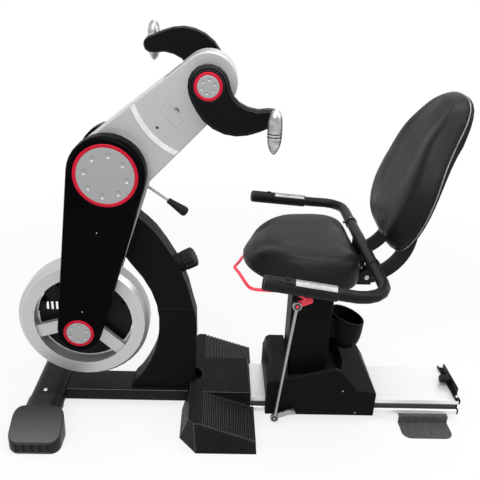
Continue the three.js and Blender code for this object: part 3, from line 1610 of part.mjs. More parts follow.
// The arm's straight grip line, as a share of the way from the bend to the tip.
function gripLine(x) {
  const share = (armTurnX - x) / (armTurnX - gripTipX);
  const low = barZ - runGap;
  return [x, armSpreadY + (gripTipY - armSpreadY) * share, low + (gripTipZ - low) * share];
}

function swingArm() {
  const bend = barX - armTurnX;
  const corner = arcPoints(armTurnX, armSpreadY - bend, bend, 0, Math.PI / 2, 6)
    .map(([x, y]) => [x, y, barZ]);
  const points = [
    [barX, crossBarHalf + collarLength, barZ], [barX, (crossBarHalf + armTurnY) / 2, barZ], ...corner,
    gripLine(armTurnX - 2 * barRadius), gripLine(gripBackX), gripLine((gripBackX + gripTipX) / 2),
    gripLine(gripTipX + 2 * gripEdge),
  ];
  return join(
    tube(points, barRadius, 12, 18),
    rodY(barX, barZ, collarRadius, crossBarHalf + runGap, crossBarHalf + collarLength + runGap, 20),
    rodY(barX, barZ, spigotRadius, crossBarHalf - spigotLength, crossBarHalf + overrun, 20),
  );
}

add('handlebar_far', swingArm(), blackPaint);
add('handlebar_near', mirrorY(swingArm()), blackPaint);

const gripEnd = new THREE.Vector3(...gripLine(gripTipX));
const gripDirection = gripEnd.sub(new THREE.Vector3(...gripLine(gripBackX)));
const gripLength = gripDirection.length();
const gripTurn = new THREE.Quaternion()
  .setFromUnitVectors(new THREE.Vector3(0, 1, 0), gripDirection.clone().normalize());
const [gripRootX, gripRootY, gripRootZ] = gripLine(gripBackX);

// Bodies along the grip: made along Y from zero at the grip's rear end.
function onGrip(geometry) {
  return geometry.applyQuaternion(gripTurn).translate(gripRootX, gripRootY, gripRootZ);
}

const plateFrom = 6;
const plateTo = 108;
const plateArc = THREE.MathUtils.degToRad(52);
const plateInset = 1.2;
const buttonPlace = 128;
const buttonRadius = 6.5;
const buttonTravel = 2.5;
const buttonProud = 2;
const buttonWell = 5;

function arcSleeve(inner, outer, from, to, halfArc, middle) {
  const points = [...arcPoints(0, 0, outer, middle - halfArc, middle + halfArc, 8),
    ...arcPoints(0, 0, inner, middle + halfArc, middle - halfArc, 8)];
  return prismZ(points, from, to).rotateX(-Math.PI / 2);
}

const plateBase = gripRadius - plateInset;
const gripUp = new THREE.Vector3(0, 0, 1).applyQuaternion(gripTurn.clone().invert());
const gripRoll = Math.atan2(gripUp.x, gripUp.z);

function sensorPlate() {
  return arcSleeve(plateBase + seatGap, gripRadius + seatGap, plateFrom, plateTo, plateArc, Math.PI / 2);
}

function plateOnGrip(geometry) {
  return onGrip(geometry.rotateY(gripRoll + Math.PI));
}

function buttonOnGrip(geometry) {
  return onGrip(geometry.rotateX(Math.PI / 2).translate(0, buttonPlace, 0).rotateY(gripRoll));
}

function grip() {
  const sleeve = new THREE.LatheGeometry([
    [0, gripLength + gripEdge], [gripRadius - gripEdge, gripLength + gripEdge], [gripRadius, gripLength],
    [gripRadius, gripEdge], [gripRadius - gripEdge / 2, 0], [0, 0],
  ].map(([r, y]) => new THREE.Vector2(r, y)), 18);
  const plateWell = arcSleeve(plateBase, gripRadius + overrun, plateFrom - seatGap, plateTo + seatGap,
    plateArc + seatGap / gripRadius, Math.PI / 2);
  return cut(
    onGrip(sleeve),
    onGrip(upright(gripBore, gripLength, 18).translate(0, gripLength / 2 - overrun, 0)),
    plateOnGrip(plateWell),
    buttonOnGrip(upright(buttonRadius + seatGap, 2 * buttonWell, 12).translate(0, gripRadius, 0)),
  );
}

function button() {
  const height = buttonWell - buttonTravel - seatGap + buttonProud;
  return buttonOnGrip(upright(buttonRadius, height, 12)
    .translate(0, gripRadius + buttonProud - height / 2, 0));
}

add('grip_far', grip(), rubber);
add('grip_near', mirrorY(grip()), rubber);
add('sensor_plate_far', plateOnGrip(sensorPlate()), chrome);
add('sensor_plate_near', mirrorY(plateOnGrip(sensorPlate())), chrome);
add('grip_button_far', button(), greyPlastic);
add('grip_button_near', mirrorY(button()), greyPlastic);

// The origin lies on the floor, below the middle of the whole machine.
const frontReach = axleX - rimOuter;
const rearReach = railRear + seatGap + endPlateThick;
machine.position.x = -(frontReach + rearReach) / 2;

export default machine;
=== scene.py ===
import math

import bmesh
import bpy
import numpy as np
from mathutils import Matrix, Vector


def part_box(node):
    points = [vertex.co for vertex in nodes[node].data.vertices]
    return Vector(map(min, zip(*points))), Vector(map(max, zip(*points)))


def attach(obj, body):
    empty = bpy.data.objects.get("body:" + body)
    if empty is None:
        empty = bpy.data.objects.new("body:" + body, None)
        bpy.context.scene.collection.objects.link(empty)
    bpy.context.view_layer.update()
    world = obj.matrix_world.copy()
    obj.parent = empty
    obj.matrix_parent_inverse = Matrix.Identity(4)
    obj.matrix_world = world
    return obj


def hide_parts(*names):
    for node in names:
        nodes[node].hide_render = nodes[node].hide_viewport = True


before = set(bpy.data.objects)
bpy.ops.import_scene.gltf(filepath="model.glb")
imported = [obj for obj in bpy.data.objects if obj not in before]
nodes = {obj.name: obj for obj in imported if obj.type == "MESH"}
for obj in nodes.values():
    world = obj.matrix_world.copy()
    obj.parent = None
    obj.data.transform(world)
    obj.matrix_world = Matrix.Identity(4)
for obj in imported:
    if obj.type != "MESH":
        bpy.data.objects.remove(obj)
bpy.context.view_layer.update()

# An arm ergometer: two hand cranks on a tilting arm, a flywheel, and a reclining seat
# that slides on a floor rail. Metres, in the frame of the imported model.
# +X runs from the flywheel to the seat, +Y away from the near side, +Z up.

scene = bpy.context.scene
scene.view_settings.view_transform = "Standard"

X = Vector((1, 0, 0))
Y = Vector((0, 1, 0))
Z = Vector((0, 0, 1))

# Points closer than this are one point
WELD_DISTANCE = 0.00001


# Camera, solved from the photograph's vanishing directions and mirrored pairs

FOCAL_PIXELS = 595.84
PHOTO_PIXELS = 480
SENSOR_WIDTH = 36.0
CAMERA_PLACE = Vector((-0.10315, -1.6, 1.2752))
CAMERA_YAW = math.radians(-2.5685)
CAMERA_PITCH = math.radians(23.4943)
CAMERA_ROLL = math.radians(2.7148)


def make_camera():
    data = bpy.data.cameras.new("camera")
    data.sensor_width = SENSOR_WIDTH
    data.lens = SENSOR_WIDTH * FOCAL_PIXELS / PHOTO_PIXELS
    camera = bpy.data.objects.new("camera", data)
    scene.collection.objects.link(camera)
    right = Vector((math.cos(CAMERA_YAW), math.sin(CAMERA_YAW), 0))
    ahead = Vector((-math.sin(CAMERA_YAW), math.cos(CAMERA_YAW), 0))
    forward = ahead * math.cos(CAMERA_PITCH) - Z * math.sin(CAMERA_PITCH)
    above = Z * math.cos(CAMERA_PITCH) + ahead * math.sin(CAMERA_PITCH)
    side = right * math.cos(CAMERA_ROLL) + above * math.sin(CAMERA_ROLL)
    top = above * math.cos(CAMERA_ROLL) - right * math.sin(CAMERA_ROLL)
    turn = Matrix((side, top, -forward)).transposed().to_4x4()
    camera.matrix_world = Matrix.Translation(CAMERA_PLACE) @ turn
    scene.camera = camera


make_camera()


# Light: a white studio. Camera, glossy and transmitted rays see the white backdrop.

AMBIENT = 0.4
FLOOR_COLOUR = (0.8, 0.8, 0.8, 1)
FLOOR_REACH = 60.0
FLOOR_SEGMENTS = 64
FLOOR_WHITE_SHARE = 0.8
FLOOR_FADE_START = 1.0
FLOOR_FADE_END = 2.4

LAMPS = {
    "key": dict(place=(-0.9, -1.9, 2.5), aim=(0, 0, 0.6), size=(1.8, 1.2), power=36),
    "top": dict(place=(0.3, 0.3, 2.9), aim=(0, 0, 0.5), size=(2.2, 1.2), power=46),
    "strip": dict(place=(0.15, -1.0, 2.3), aim=(0.15, -0.1, 0.6), size=(2.0, 0.2), power=13),
    "rear": dict(place=(1.9, -0.8, 1.9), aim=(0.2, 0, 0.5), size=(1.0, 1.4), power=14),
}


def seen_directly(tree):
    """A value of 1 on camera, glossy and transmitted rays."""
    path = tree.nodes.new("ShaderNodeLightPath")
    total = path.outputs["Is Camera Ray"]
    for ray in ("Is Glossy Ray", "Is Transmission Ray"):
        either = tree.nodes.new("ShaderNodeMath")
        either.operation = "MAXIMUM"
        tree.links.new(total, either.inputs[0])
        tree.links.new(path.outputs[ray], either.inputs[1])
        total = either.outputs[0]
    return total


def make_world():
    world = bpy.data.worlds.new("studio")
    world.use_nodes = True
    scene.world = world
    tree = world.node_tree
    background = tree.nodes["Background"]
    background.inputs["Color"].default_value = (1, 1, 1, 1)
    level = tree.nodes.new("ShaderNodeMapRange")
    level.inputs["To Min"].default_value = AMBIENT
    level.inputs["To Max"].default_value = 1.0
    tree.links.new(seen_directly(tree), level.inputs["Value"])
    tree.links.new(level.outputs["Result"], background.inputs["Strength"])


def make_floor():
    bm = bmesh.new()
    bmesh.ops.create_circle(bm, cap_ends=True, radius=FLOOR_REACH, segments=FLOOR_SEGMENTS)
    mesh = bpy.data.meshes.new("floor")
    bm.to_mesh(mesh)
    bm.free()
    floor = bpy.data.objects.new("floor", mesh)
    scene.collection.objects.link(floor)
    paint = bpy.data.materials.new("floor")
    paint.use_nodes = True
    tree = paint.node_tree
    tree.nodes.clear()
    matt = tree.nodes.new("ShaderNodeBsdfDiffuse")
    matt.inputs["Color"].default_value = FLOOR_COLOUR
    white = tree.nodes.new("ShaderNodeEmission")
    mix = tree.nodes.new("ShaderNodeMixShader")
    output = tree.nodes.new("ShaderNodeOutputMaterial")
    place = tree.nodes.new("ShaderNodeTexCoord")
    distance = tree.nodes.new("ShaderNodeVectorMath")
    distance.operation = "LENGTH"
    fade = tree.nodes.new("ShaderNodeMapRange")
    fade.interpolation_type = "SMOOTHSTEP"
    fade.inputs["From Min"].default_value = FLOOR_FADE_START
    fade.inputs["From Max"].default_value = FLOOR_FADE_END
    fade.inputs["To Min"].default_value = FLOOR_WHITE_SHARE
    fade.inputs["To Max"].default_value = 1.0
    share = tree.nodes.new("ShaderNodeMath")
    share.operation = "MULTIPLY"
    tree.links.new(place.outputs["Object"], distance.inputs[0])
    tree.links.new(distance.outputs["Value"], fade.inputs["Value"])
    tree.links.new(fade.outputs["Result"], share.inputs[0])
    tree.links.new(seen_directly(tree), share.inputs[1])
    tree.links.new(share.outputs[0], mix.inputs["Fac"])
    tree.links.new(matt.outputs[0], mix.inputs[1])
    tree.links.new(white.outputs[0], mix.inputs[2])
    tree.links.new(mix.outputs[0], output.inputs["Surface"])
    mesh.materials.append(paint)


def make_lamps():
    for name, lamp in LAMPS.items():
        data = bpy.data.lights.new(name, "AREA")
        data.shape = "RECTANGLE"
        data.size, data.size_y = lamp["size"]
        data.energy = lamp["power"]
        light = bpy.data.objects.new(name, data)
        scene.collection.objects.link(light)
        light.location = lamp["place"]
        away = Vector(lamp["place"]) - Vector(lamp["aim"])
        light.rotation_mode = "QUATERNION"
        light.rotation_quaternion = away.to_track_quat("Z", "Y")


make_world()
make_floor()
make_lamps()


# Materials. Textures are placed in metres on the object itself.

# The span that most of a noise texture's values lie in
NOISE_LOW = 0.35
NOISE_HIGH = 0.65
HEIGHT_BLEND = 0.0005

# Heights of the fine relief
GLOSS_GRAIN = 0.00002
FINE_GRAIN = 0.00004
VINYL_GRAIN = 0.00005
PAINT_GRAIN = 0.00006
MOULD_GRAIN = 0.0001
MAT_GRAIN = 0.0004


class Finish:
    """A Principled material that takes patches of colour, uneven gloss and fine relief."""

    def __init__(self, name, colour, roughness, metallic=0.0, specular=0.5, coat=0.0, sheen=0.0):
        self.material = bpy.data.materials.new(name)
        self.material.use_nodes = True
        self.tree = self.material.node_tree
        self.shader = self.tree.nodes["Principled BSDF"]
        self.shader.inputs["Base Color"].default_value = (*colour, 1)
        self.shader.inputs["Roughness"].default_value = roughness
        self.shader.inputs["Metallic"].default_value = metallic
        self.shader.inputs["Specular IOR Level"].default_value = specular
        self.shader.inputs["Coat Weight"].default_value = coat
        self.shader.inputs["Sheen Weight"].default_value = sheen
        self.relief = None

    def node(self, kind, **values):
        made = self.tree.nodes.new(kind)
        for key, value in values.items():
            setattr(made, key, value)
        return made

    def place(self, stretch=(1, 1, 1)):
        source = self.node("ShaderNodeTexCoord").outputs["Object"]
        mapping = self.node("ShaderNodeMapping")
        mapping.inputs["Scale"].default_value = stretch
        self.tree.links.new(source, mapping.inputs["Vector"])
        return mapping.outputs["Vector"]

    def noise(self, scale, detail=3, stretch=(1, 1, 1)):
        texture = self.node("ShaderNodeTexNoise")
        texture.inputs["Scale"].default_value = scale
        texture.inputs["Detail"].default_value = detail
        self.tree.links.new(self.place(stretch), texture.inputs["Vector"])
        return texture.outputs["Fac"]

    def cells(self, scale, stretch=(1, 1, 1)):
        texture = self.node("ShaderNodeTexVoronoi")
        texture.inputs["Scale"].default_value = scale
        self.tree.links.new(self.place(stretch), texture.inputs["Vector"])
        return texture.outputs["Distance"]

    def sideways(self, near, far):
        """Rises from 0 to 1 as the distance from the middle plane goes from near to far."""
        parts = self.node("ShaderNodeSeparateXYZ")
        self.tree.links.new(self.place(), parts.inputs[0])
        size = self.node("ShaderNodeMath", operation="ABSOLUTE")
        self.tree.links.new(parts.outputs["Y"], size.inputs[0])
        return self.remap(size.outputs[0], 0, 1, near, far)

    def upward(self, start, end):
        """Rises from 0 to 1 as a face turns from upright to level."""
        parts = self.node("ShaderNodeSeparateXYZ")
        normal = self.node("ShaderNodeTexCoord").outputs["Normal"]
        self.tree.links.new(normal, parts.inputs[0])
        return self.remap(parts.outputs["Z"], 0, 1, start, end)

    def below(self, height):
        """A value of 1 under a height and 0 above it."""
        parts = self.node("ShaderNodeSeparateXYZ")
        self.tree.links.new(self.place(), parts.inputs[0])
        return self.remap(parts.outputs["Z"], 1, 0, height - HEIGHT_BLEND, height)

    def times(self, first, second):
        product = self.node("ShaderNodeMath", operation="MULTIPLY")
        self.tree.links.new(first, product.inputs[0])
        self.tree.links.new(second, product.inputs[1])
        return product.outputs[0]

    def turned(self, centre, scale):
        """Fine rings about a line along Y through centre."""
        shift = self.node("ShaderNodeVectorMath", operation="SUBTRACT")
        shift.inputs[1].default_value = (centre.x, 0, centre.z)
        self.tree.links.new(self.place((1, 0, 1)), shift.inputs[0])
        radius = self.node("ShaderNodeVectorMath", operation="LENGTH")
        self.tree.links.new(shift.outputs["Vector"], radius.inputs[0])
        texture = self.node("ShaderNodeTexNoise", noise_dimensions="1D")
        texture.inputs["Scale"].default_value = scale
        texture.inputs["Detail"].default_value = 2
        self.tree.links.new(radius.outputs["Value"], texture.inputs["W"])
        return texture.outputs["Fac"]

    def remap(self, value, low, high, start=NOISE_LOW, end=NOISE_HIGH):
        change = self.node("ShaderNodeMapRange")
        change.inputs["From Min"].default_value = start
        change.inputs["From Max"].default_value = end
        change.inputs["To Min"].default_value = low
        change.inputs["To Max"].default_value = high
        self.tree.links.new(value, change.inputs["Value"])
        return change.outputs["Result"]

    def colours(self, value, dark, light, start=NOISE_LOW, end=NOISE_HIGH):
        mix = self.node("ShaderNodeMix", data_type="RGBA")
        colour_inputs = [socket for socket in mix.inputs if socket.type == "RGBA"]
        colour_inputs[0].default_value = (*dark, 1)
        colour_inputs[1].default_value = (*light, 1)
        self.tree.links.new(self.remap(value, 0, 1, start, end), mix.inputs["Factor"])
        result = [socket for socket in mix.outputs if socket.type == "RGBA"][0]
        self.tree.links.new(result, self.shader.inputs["Base Color"])
        return self

    def gloss(self, value, low, high):
        self.tree.links.new(self.remap(value, low, high), self.shader.inputs["Roughness"])
        return self

    def bump(self, value, height, strength=1.0):
        texture = self.node("ShaderNodeBump")
        texture.inputs["Distance"].default_value = height
        texture.inputs["Strength"].default_value = strength
        self.tree.links.new(value, texture.inputs["Height"])
        if self.relief:
            self.tree.links.new(self.relief, texture.inputs["Normal"])
        self.relief = texture.outputs["Normal"]
        self.tree.links.new(self.relief, self.shader.inputs["Normal"])
        return self


def centre_of(node):
    low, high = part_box(node)
    return (Vector(low) + Vector(high)) / 2


paint = Finish("powder_coat_black", (0.007, 0.007, 0.008), 0.4, specular=0.12)
paint.colours(paint.noise(9), (0.005, 0.005, 0.006), (0.009, 0.009, 0.010))
paint.gloss(paint.noise(40), 0.34, 0.46)
paint.bump(paint.noise(1600, 2), PAINT_GRAIN)

# Painted light: faces that look up are painted lighter than upright ones, as if lit from above.
plastic = Finish("moulded_plastic_black", (0.008, 0.008, 0.009), 0.46, specular=0.04)
plastic.colours(plastic.upward(0.1, 0.6), (0.005, 0.005, 0.006), (0.016, 0.016, 0.017), 0, 1)
plastic.gloss(plastic.noise(60), 0.4, 0.54)
plastic.bump(plastic.noise(1100, 3), MOULD_GRAIN)

cover_plastic = Finish("cover_plastic_black", (0.002, 0.002, 0.003), 0.38, specular=0.02)
cover_plastic.colours(cover_plastic.noise(5), (0.001, 0.001, 0.0015), (0.002, 0.002, 0.003))
cover_plastic.gloss(cover_plastic.noise(30), 0.3, 0.4)
cover_plastic.bump(cover_plastic.noise(1400, 2), FINE_GRAIN)

# Painted highlight: a lighter, glossier black for bevelled edges and the small clamp knob, standing in for
# the highlight lines along edges.
painted_highlight = Finish("painted_highlight_black", (0.03, 0.03, 0.032), 0.3, specular=0.6)
painted_highlight.colours(painted_highlight.noise(60), (0.045, 0.045, 0.046), (0.08, 0.08, 0.082))
painted_highlight.gloss(painted_highlight.noise(120), 0.26, 0.4)

# Painted highlight: a light grey for the floor beam's bevelled edges, standing in for the bright line along
# its top edge.
painted_highlight_grey = Finish("painted_highlight_grey_edge", (0.4, 0.4, 0.405), 0.3, specular=0.5)
painted_highlight_grey.colours(painted_highlight_grey.noise(50), (0.34, 0.34, 0.345), (0.46, 0.46, 0.465))
painted_highlight_grey.gloss(painted_highlight_grey.noise(120), 0.26, 0.4)

tread_plastic = Finish("tread_plastic_black", (0.012, 0.012, 0.013), 0.46, specular=0.06)
tread_plastic.colours(tread_plastic.noise(6), (0.008, 0.008, 0.009), (0.012, 0.012, 0.013))
tread_plastic.gloss(tread_plastic.noise(50), 0.4, 0.54)
tread_plastic.bump(tread_plastic.cells(700), MOULD_GRAIN)

# Painted light and shade: the foot caps are painted dark beside the tube and on their upright faces, as
# shade, and lighter on top towards their outer ends, as lit faces
CAP_DARK_REACH = 0.15
CAP_LIGHT_REACH = 0.265
grey_plastic = Finish("moulded_plastic_grey", (0.06, 0.06, 0.062), 0.42, specular=0.2)
cap_light_and_shade = grey_plastic.times(
    grey_plastic.sideways(CAP_DARK_REACH, CAP_LIGHT_REACH), grey_plastic.upward(0.1, 0.7))
grey_plastic.colours(cap_light_and_shade, (0.006, 0.006, 0.007), (0.1, 0.1, 0.103), 0, 1)
grey_plastic.gloss(grey_plastic.noise(60), 0.36, 0.48)
grey_plastic.bump(grey_plastic.cells(900), MOULD_GRAIN)

speckled = Finish("grip_mat_grey", (0.04, 0.04, 0.042), 0.6, specular=0.3)
speckled.colours(speckled.cells(420), (0.016, 0.016, 0.018), (0.1, 0.1, 0.104), 0.25, 0.7)
speckled.gloss(speckled.noise(90), 0.5, 0.7)
speckled.bump(speckled.cells(420), MAT_GRAIN)

silver = Finish("silver_paint", (0.42, 0.42, 0.425), 0.36, metallic=0.3)
silver.colours(silver.cells(2600), (0.37, 0.372, 0.375), (0.45, 0.45, 0.455), 0.1, 0.6)
silver.gloss(silver.noise(25), 0.3, 0.42)
silver.bump(silver.noise(1500, 2), FINE_GRAIN)

disc_silver = Finish("disc_silver_paint", (0.3, 0.3, 0.305), 0.34, metallic=0.4)
disc_silver.colours(disc_silver.cells(2600), (0.27, 0.272, 0.275), (0.34, 0.34, 0.345), 0.1, 0.6)
disc_silver.gloss(disc_silver.noise(25), 0.28, 0.4)

# Painted highlight: a lighter silver for bevelled edges and the arm's raised arc, standing in for the light
# they catch.
painted_highlight_silver = Finish("painted_highlight_silver_edge", (0.74, 0.74, 0.745), 0.28, metallic=0.3)
painted_highlight_silver.colours(painted_highlight_silver.noise(30), (0.68, 0.68, 0.685), (0.8, 0.8, 0.805))
painted_highlight_silver.gloss(painted_highlight_silver.noise(80), 0.22, 0.34)

# Painted shade: the grooves in the rail's sides are painted dark
RAIL_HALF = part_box("rail")[1][1]
RAIL_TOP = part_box("rail")[1][2]
RAIL_LIP = 0.003
GROOVE_DEPTH = 0.006
rail_metal = Finish("anodised_aluminium", (0.82, 0.82, 0.825), 0.34, metallic=0.5)
rail_inside = rail_metal.remap(
    rail_metal.sideways(0, 1), 1, 0, RAIL_HALF - GROOVE_DEPTH, RAIL_HALF - GROOVE_DEPTH / 2)
groove_painted_shade = rail_metal.times(rail_metal.below(RAIL_TOP - RAIL_LIP), rail_inside)
rail_metal.colours(groove_painted_shade, (0.85, 0.85, 0.855), (0.12, 0.12, 0.122), 0, 1)
rail_metal.gloss(rail_metal.noise(10, 2, (0.3, 2, 2)), 0.32, 0.38)

wheel_metal = Finish("turned_aluminium", (0.56, 0.56, 0.565), 0.32, metallic=0.6)
wheel_metal.colours(wheel_metal.turned(centre_of("flywheel"), 160), (0.5, 0.5, 0.505), (0.54, 0.54, 0.545))
wheel_metal.gloss(wheel_metal.turned(centre_of("flywheel"), 300), 0.3, 0.36)

steel = Finish("brushed_steel", (0.36, 0.36, 0.365), 0.34, metallic=0.85)
steel.colours(steel.noise(90, 3, (1, 1, 8)), (0.3, 0.3, 0.305), (0.42, 0.42, 0.425))
steel.gloss(steel.noise(140, 3, (1, 1, 8)), 0.28, 0.42)

chrome = Finish("chrome", (0.5, 0.5, 0.51), 0.16, metallic=1.0)
chrome.colours(chrome.noise(12), (0.44, 0.44, 0.45), (0.56, 0.56, 0.57))
chrome.gloss(chrome.noise(70), 0.12, 0.22)

grip_metal = Finish("brushed_grip_metal", (0.36, 0.36, 0.365), 0.26, metallic=0.85)
grip_metal.colours(grip_metal.noise(26, 3, (1, 1, 3)), (0.28, 0.28, 0.285), (0.54, 0.54, 0.545))
grip_metal.gloss(grip_metal.noise(70), 0.22, 0.36)

plate_metal = Finish("sensor_plate_metal", (0.26, 0.26, 0.265), 0.42, metallic=0.5)
plate_metal.colours(plate_metal.noise(45, 2), (0.22, 0.22, 0.225), (0.3, 0.3, 0.305))
plate_metal.gloss(plate_metal.noise(70), 0.36, 0.48)

red = Finish("red_gloss", (0.5, 0.005, 0.025), 0.34, specular=0.15)
red.colours(red.noise(20), (0.44, 0.004, 0.02), (0.54, 0.006, 0.028))
red.gloss(red.noise(90), 0.28, 0.4)
red.bump(red.noise(900, 2), GLOSS_GRAIN)

lever_red = Finish("lever_red_gloss", (0.9, 0.03, 0.07), 0.32, specular=0.4, coat=0.2)
lever_red.colours(lever_red.noise(20), (0.82, 0.022, 0.055), (0.95, 0.036, 0.08))
lever_red.gloss(lever_red.noise(90), 0.26, 0.38)

rubber = Finish("foam_rubber", (0.006, 0.006, 0.007), 0.5, specular=0.14)
rubber.colours(rubber.noise(14), (0.004, 0.004, 0.005), (0.009, 0.009, 0.010))
rubber.gloss(rubber.noise(300), 0.44, 0.66)
rubber.bump(rubber.noise(1300, 4), MOULD_GRAIN)

vinyl = Finish("vinyl", (0.010, 0.010, 0.011), 0.36, specular=0.1)
vinyl.colours(vinyl.noise(5, 1), (0.009, 0.009, 0.010), (0.011, 0.011, 0.012))
vinyl.gloss(vinyl.noise(45), 0.36, 0.42)
vinyl.bump(vinyl.cells(620), VINYL_GRAIN, 0.4)

# Grey piping; its light grey also stands in for the highlight line along each seam, a painted highlight.
piping = Finish("piping_vinyl_grey", (0.16, 0.16, 0.165), 0.3, specular=0.6)
piping.colours(piping.noise(60), (0.13, 0.13, 0.135), (0.2, 0.2, 0.205))
piping.gloss(piping.noise(120), 0.26, 0.38)


# The carried-over CAD nodes: each gets its material, soft edges and smooth shading

EDGE_ANGLE = math.radians(32)
FLAT_ANGLE = math.radians(0.5)

# Each node's finish, its edge width, and the finish of its edges where that differs
NODE_FINISHES = {
    "front_cross_tube": (paint, 0.0008),
    "front_foot_cap_near": (grey_plastic, 0.002),
    "front_foot_cap_far": (grey_plastic, 0.002),
    "floor_beam": (paint, 0.003, painted_highlight_grey),
    "footrest": (tread_plastic, 0.001, painted_highlight),
    "rail": (rail_metal, 0.0006),
    "rail_end_plate": (plastic, 0.0006),
    "rail_stop_strap": (paint, 0.0006, painted_highlight),
    "rail_bumper": (rubber, 0.0004),
    "rear_foot": (speckled, 0.0006),
    "post_shell": (plastic, 0.0015),
    "post_base_cover": (plastic, 0.0015),
    "mast_frame": (silver, 0.0006),
    "drive_cover_near": (cover_plastic, 0.002),
    "drive_cover_far": (cover_plastic, 0.002),
    "resistance_knob": (plastic, 0.0008, painted_highlight),
    "arm_side_near": (silver, 0.0014, painted_highlight_silver),
    "arm_side_far": (silver, 0.0014, painted_highlight_silver),
    "arm_top_web": (silver, 0.0006, painted_highlight_silver),
    "arm_access_panel": (silver, 0.0004),
    "arm_belt": (rubber, 0.0003),
    "crank_axle": (steel, 0.0004),
    "crank_arm_near": (plastic, 0.003, painted_highlight),
    "crank_arm_far": (plastic, 0.003, painted_highlight),
    "jackshaft": (steel, 0.0004),
    "drive_belt": (rubber, 0.0003),
    "flywheel": (wheel_metal, 0.0015, painted_highlight_silver),
    "flywheel_axle": (steel, 0.0004),
    "brake_plate": (paint, 0.0006),
    "carriage_cover": (plastic, 0.0016, painted_highlight),
    "carriage_chassis": (steel, 0.0004),
    "seat_column": (plastic, 0.0015, painted_highlight),
    "cup_holder": (plastic, 0.0006, painted_highlight),
    "seat_pan": (plastic, 0.002),
    "link_rod": (steel, 0.0004),
    "lock_arm": (steel, 0.0006),
    "recline_bracket": (paint, 0.0008, painted_highlight),
    "back_bars": (paint, 0.0008, painted_highlight),
    "back_shell": (plastic, 0.0015),
    "handlebar_cross_tube": (paint, 0.0005),
    "handlebar_near": (paint, 0.001),
    "handlebar_far": (paint, 0.001),
    "grip_near": (rubber, 0.002, painted_highlight),
    "grip_far": (rubber, 0.002, painted_highlight),
    "sensor_plate_near": (plate_metal, 0.0003),
    "sensor_plate_far": (plate_metal, 0.0003),
    "grip_button_near": (plastic, 0.0006),
    "grip_button_far": (plastic, 0.0006),
}


def finish_node(name, finish, edge, edge_finish=None):
    obj = nodes[name]
    obj.data.materials.clear()
    obj.data.materials.append(finish.material)
    for polygon in obj.data.polygons:
        polygon.use_smooth = True
        polygon.material_index = 0
    bevel = soften(obj, edge)
    # Painted highlight: the bevelled edges take the lighter edge finish where one is given.
    if edge_finish:
        obj.data.materials.append(edge_finish.material)
        bevel.material = 1


def soften(obj, edge):
    weld = obj.modifiers.new("weld", "WELD")
    weld.merge_threshold = WELD_DISTANCE
    flat = obj.modifiers.new("flat", "DECIMATE")
    flat.decimate_type = "DISSOLVE"
    flat.angle_limit = FLAT_ANGLE
    bevel = obj.modifiers.new("edges", "BEVEL")
    bevel.width = edge
    bevel.segments = 2
    bevel.limit_method = "ANGLE"
    bevel.angle_limit = EDGE_ANGLE
    obj.modifiers.new("normals", "WEIGHTED_NORMAL")
    return bevel


for node_name, node_facts in NODE_FINISHES.items():
    finish_node(node_name, *node_facts)

# Painted highlight: the raised arc on each side plate takes the lighter edge silver
ARM_FACE = 0.0505
for node_name in ("arm_side_near", "arm_side_far"):
    for arm_polygon in nodes[node_name].data.polygons:
        if abs(arm_polygon.center.y) > ARM_FACE:
            arm_polygon.material_index = 1


# Helpers for new pieces


def new_object(name, mesh):
    obj = bpy.data.objects.new(name, mesh)
    scene.collection.objects.link(obj)
    return obj


def settle(obj):
    """Applies the modifiers of obj to its mesh."""
    graph = bpy.context.evaluated_depsgraph_get()
    mesh = bpy.data.meshes.new_from_object(obj.evaluated_get(graph))
    obj.modifiers.clear()
    obj.data = mesh
    return obj


def piece(obj, body, slot_name, finish, *replaced):
    """Puts a finished piece on its CAD body."""
    obj.data.materials.clear()
    obj.data.materials.append(finish.material)
    for polygon in obj.data.polygons:
        polygon.use_smooth = True
        polygon.material_index = 0
    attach(obj, body)
    if replaced:
        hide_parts(*replaced)
    return obj


def lathe(name, profile, place, axis, steps=96):
    """A turned body. The profile is pairs of radius and height along axis from place."""
    bm = bmesh.new()
    rings = []
    for radius, height in profile:
        if radius == 0:
            rings.append([bm.verts.new((0, 0, height))])
            continue
        angles = [2 * math.pi * i / steps for i in range(steps)]
        rings.append([bm.verts.new((radius * math.cos(a), radius * math.sin(a), height)) for a in angles])
    for lower, upper in zip(rings, rings[1:]):
        for i in range(steps):
            j = (i + 1) % steps
            if len(lower) == 1:
                bm.faces.new((lower[0], upper[j], upper[i]))
            elif len(upper) == 1:
                bm.faces.new((lower[i], lower[j], upper[0]))
            else:
                bm.faces.new((lower[i], lower[j], upper[j], upper[i]))
    turn = axis.to_track_quat("Z", "Y").to_matrix().to_4x4()
    bmesh.ops.transform(bm, matrix=Matrix.Translation(place) @ turn, verts=bm.verts)
    bmesh.ops.recalc_face_normals(bm, faces=bm.faces)
    mesh = bpy.data.meshes.new(name)
    bm.to_mesh(mesh)
    bm.free()
    return new_object(name, mesh)


# The small slope at the ends of turned pins and hubs
CHAMFER = 0.001


def both_ways(half_profile):
    """A whole profile from the half that runs from its top to its middle."""
    return [(radius, -height) for radius, height in half_profile] + half_profile[::-1]


# The sides of a round cord
CORD_STEPS = 16


def ring(name, radius, thick, place, axis, squeeze=1.0, steps=96):
    """A round cord bent to a circle. squeeze flattens it along the axis."""
    turns = [2 * math.pi * i / CORD_STEPS for i in range(CORD_STEPS + 1)]
    profile = [(radius + thick * math.cos(a), thick * squeeze * math.sin(a)) for a in turns]
    obj = lathe(name, profile, place, axis, steps)
    bm = bmesh.new()
    bm.from_mesh(obj.data)
    bmesh.ops.remove_doubles(bm, verts=bm.verts, dist=WELD_DISTANCE)
    bm.to_mesh(obj.data)
    bm.free()
    return obj


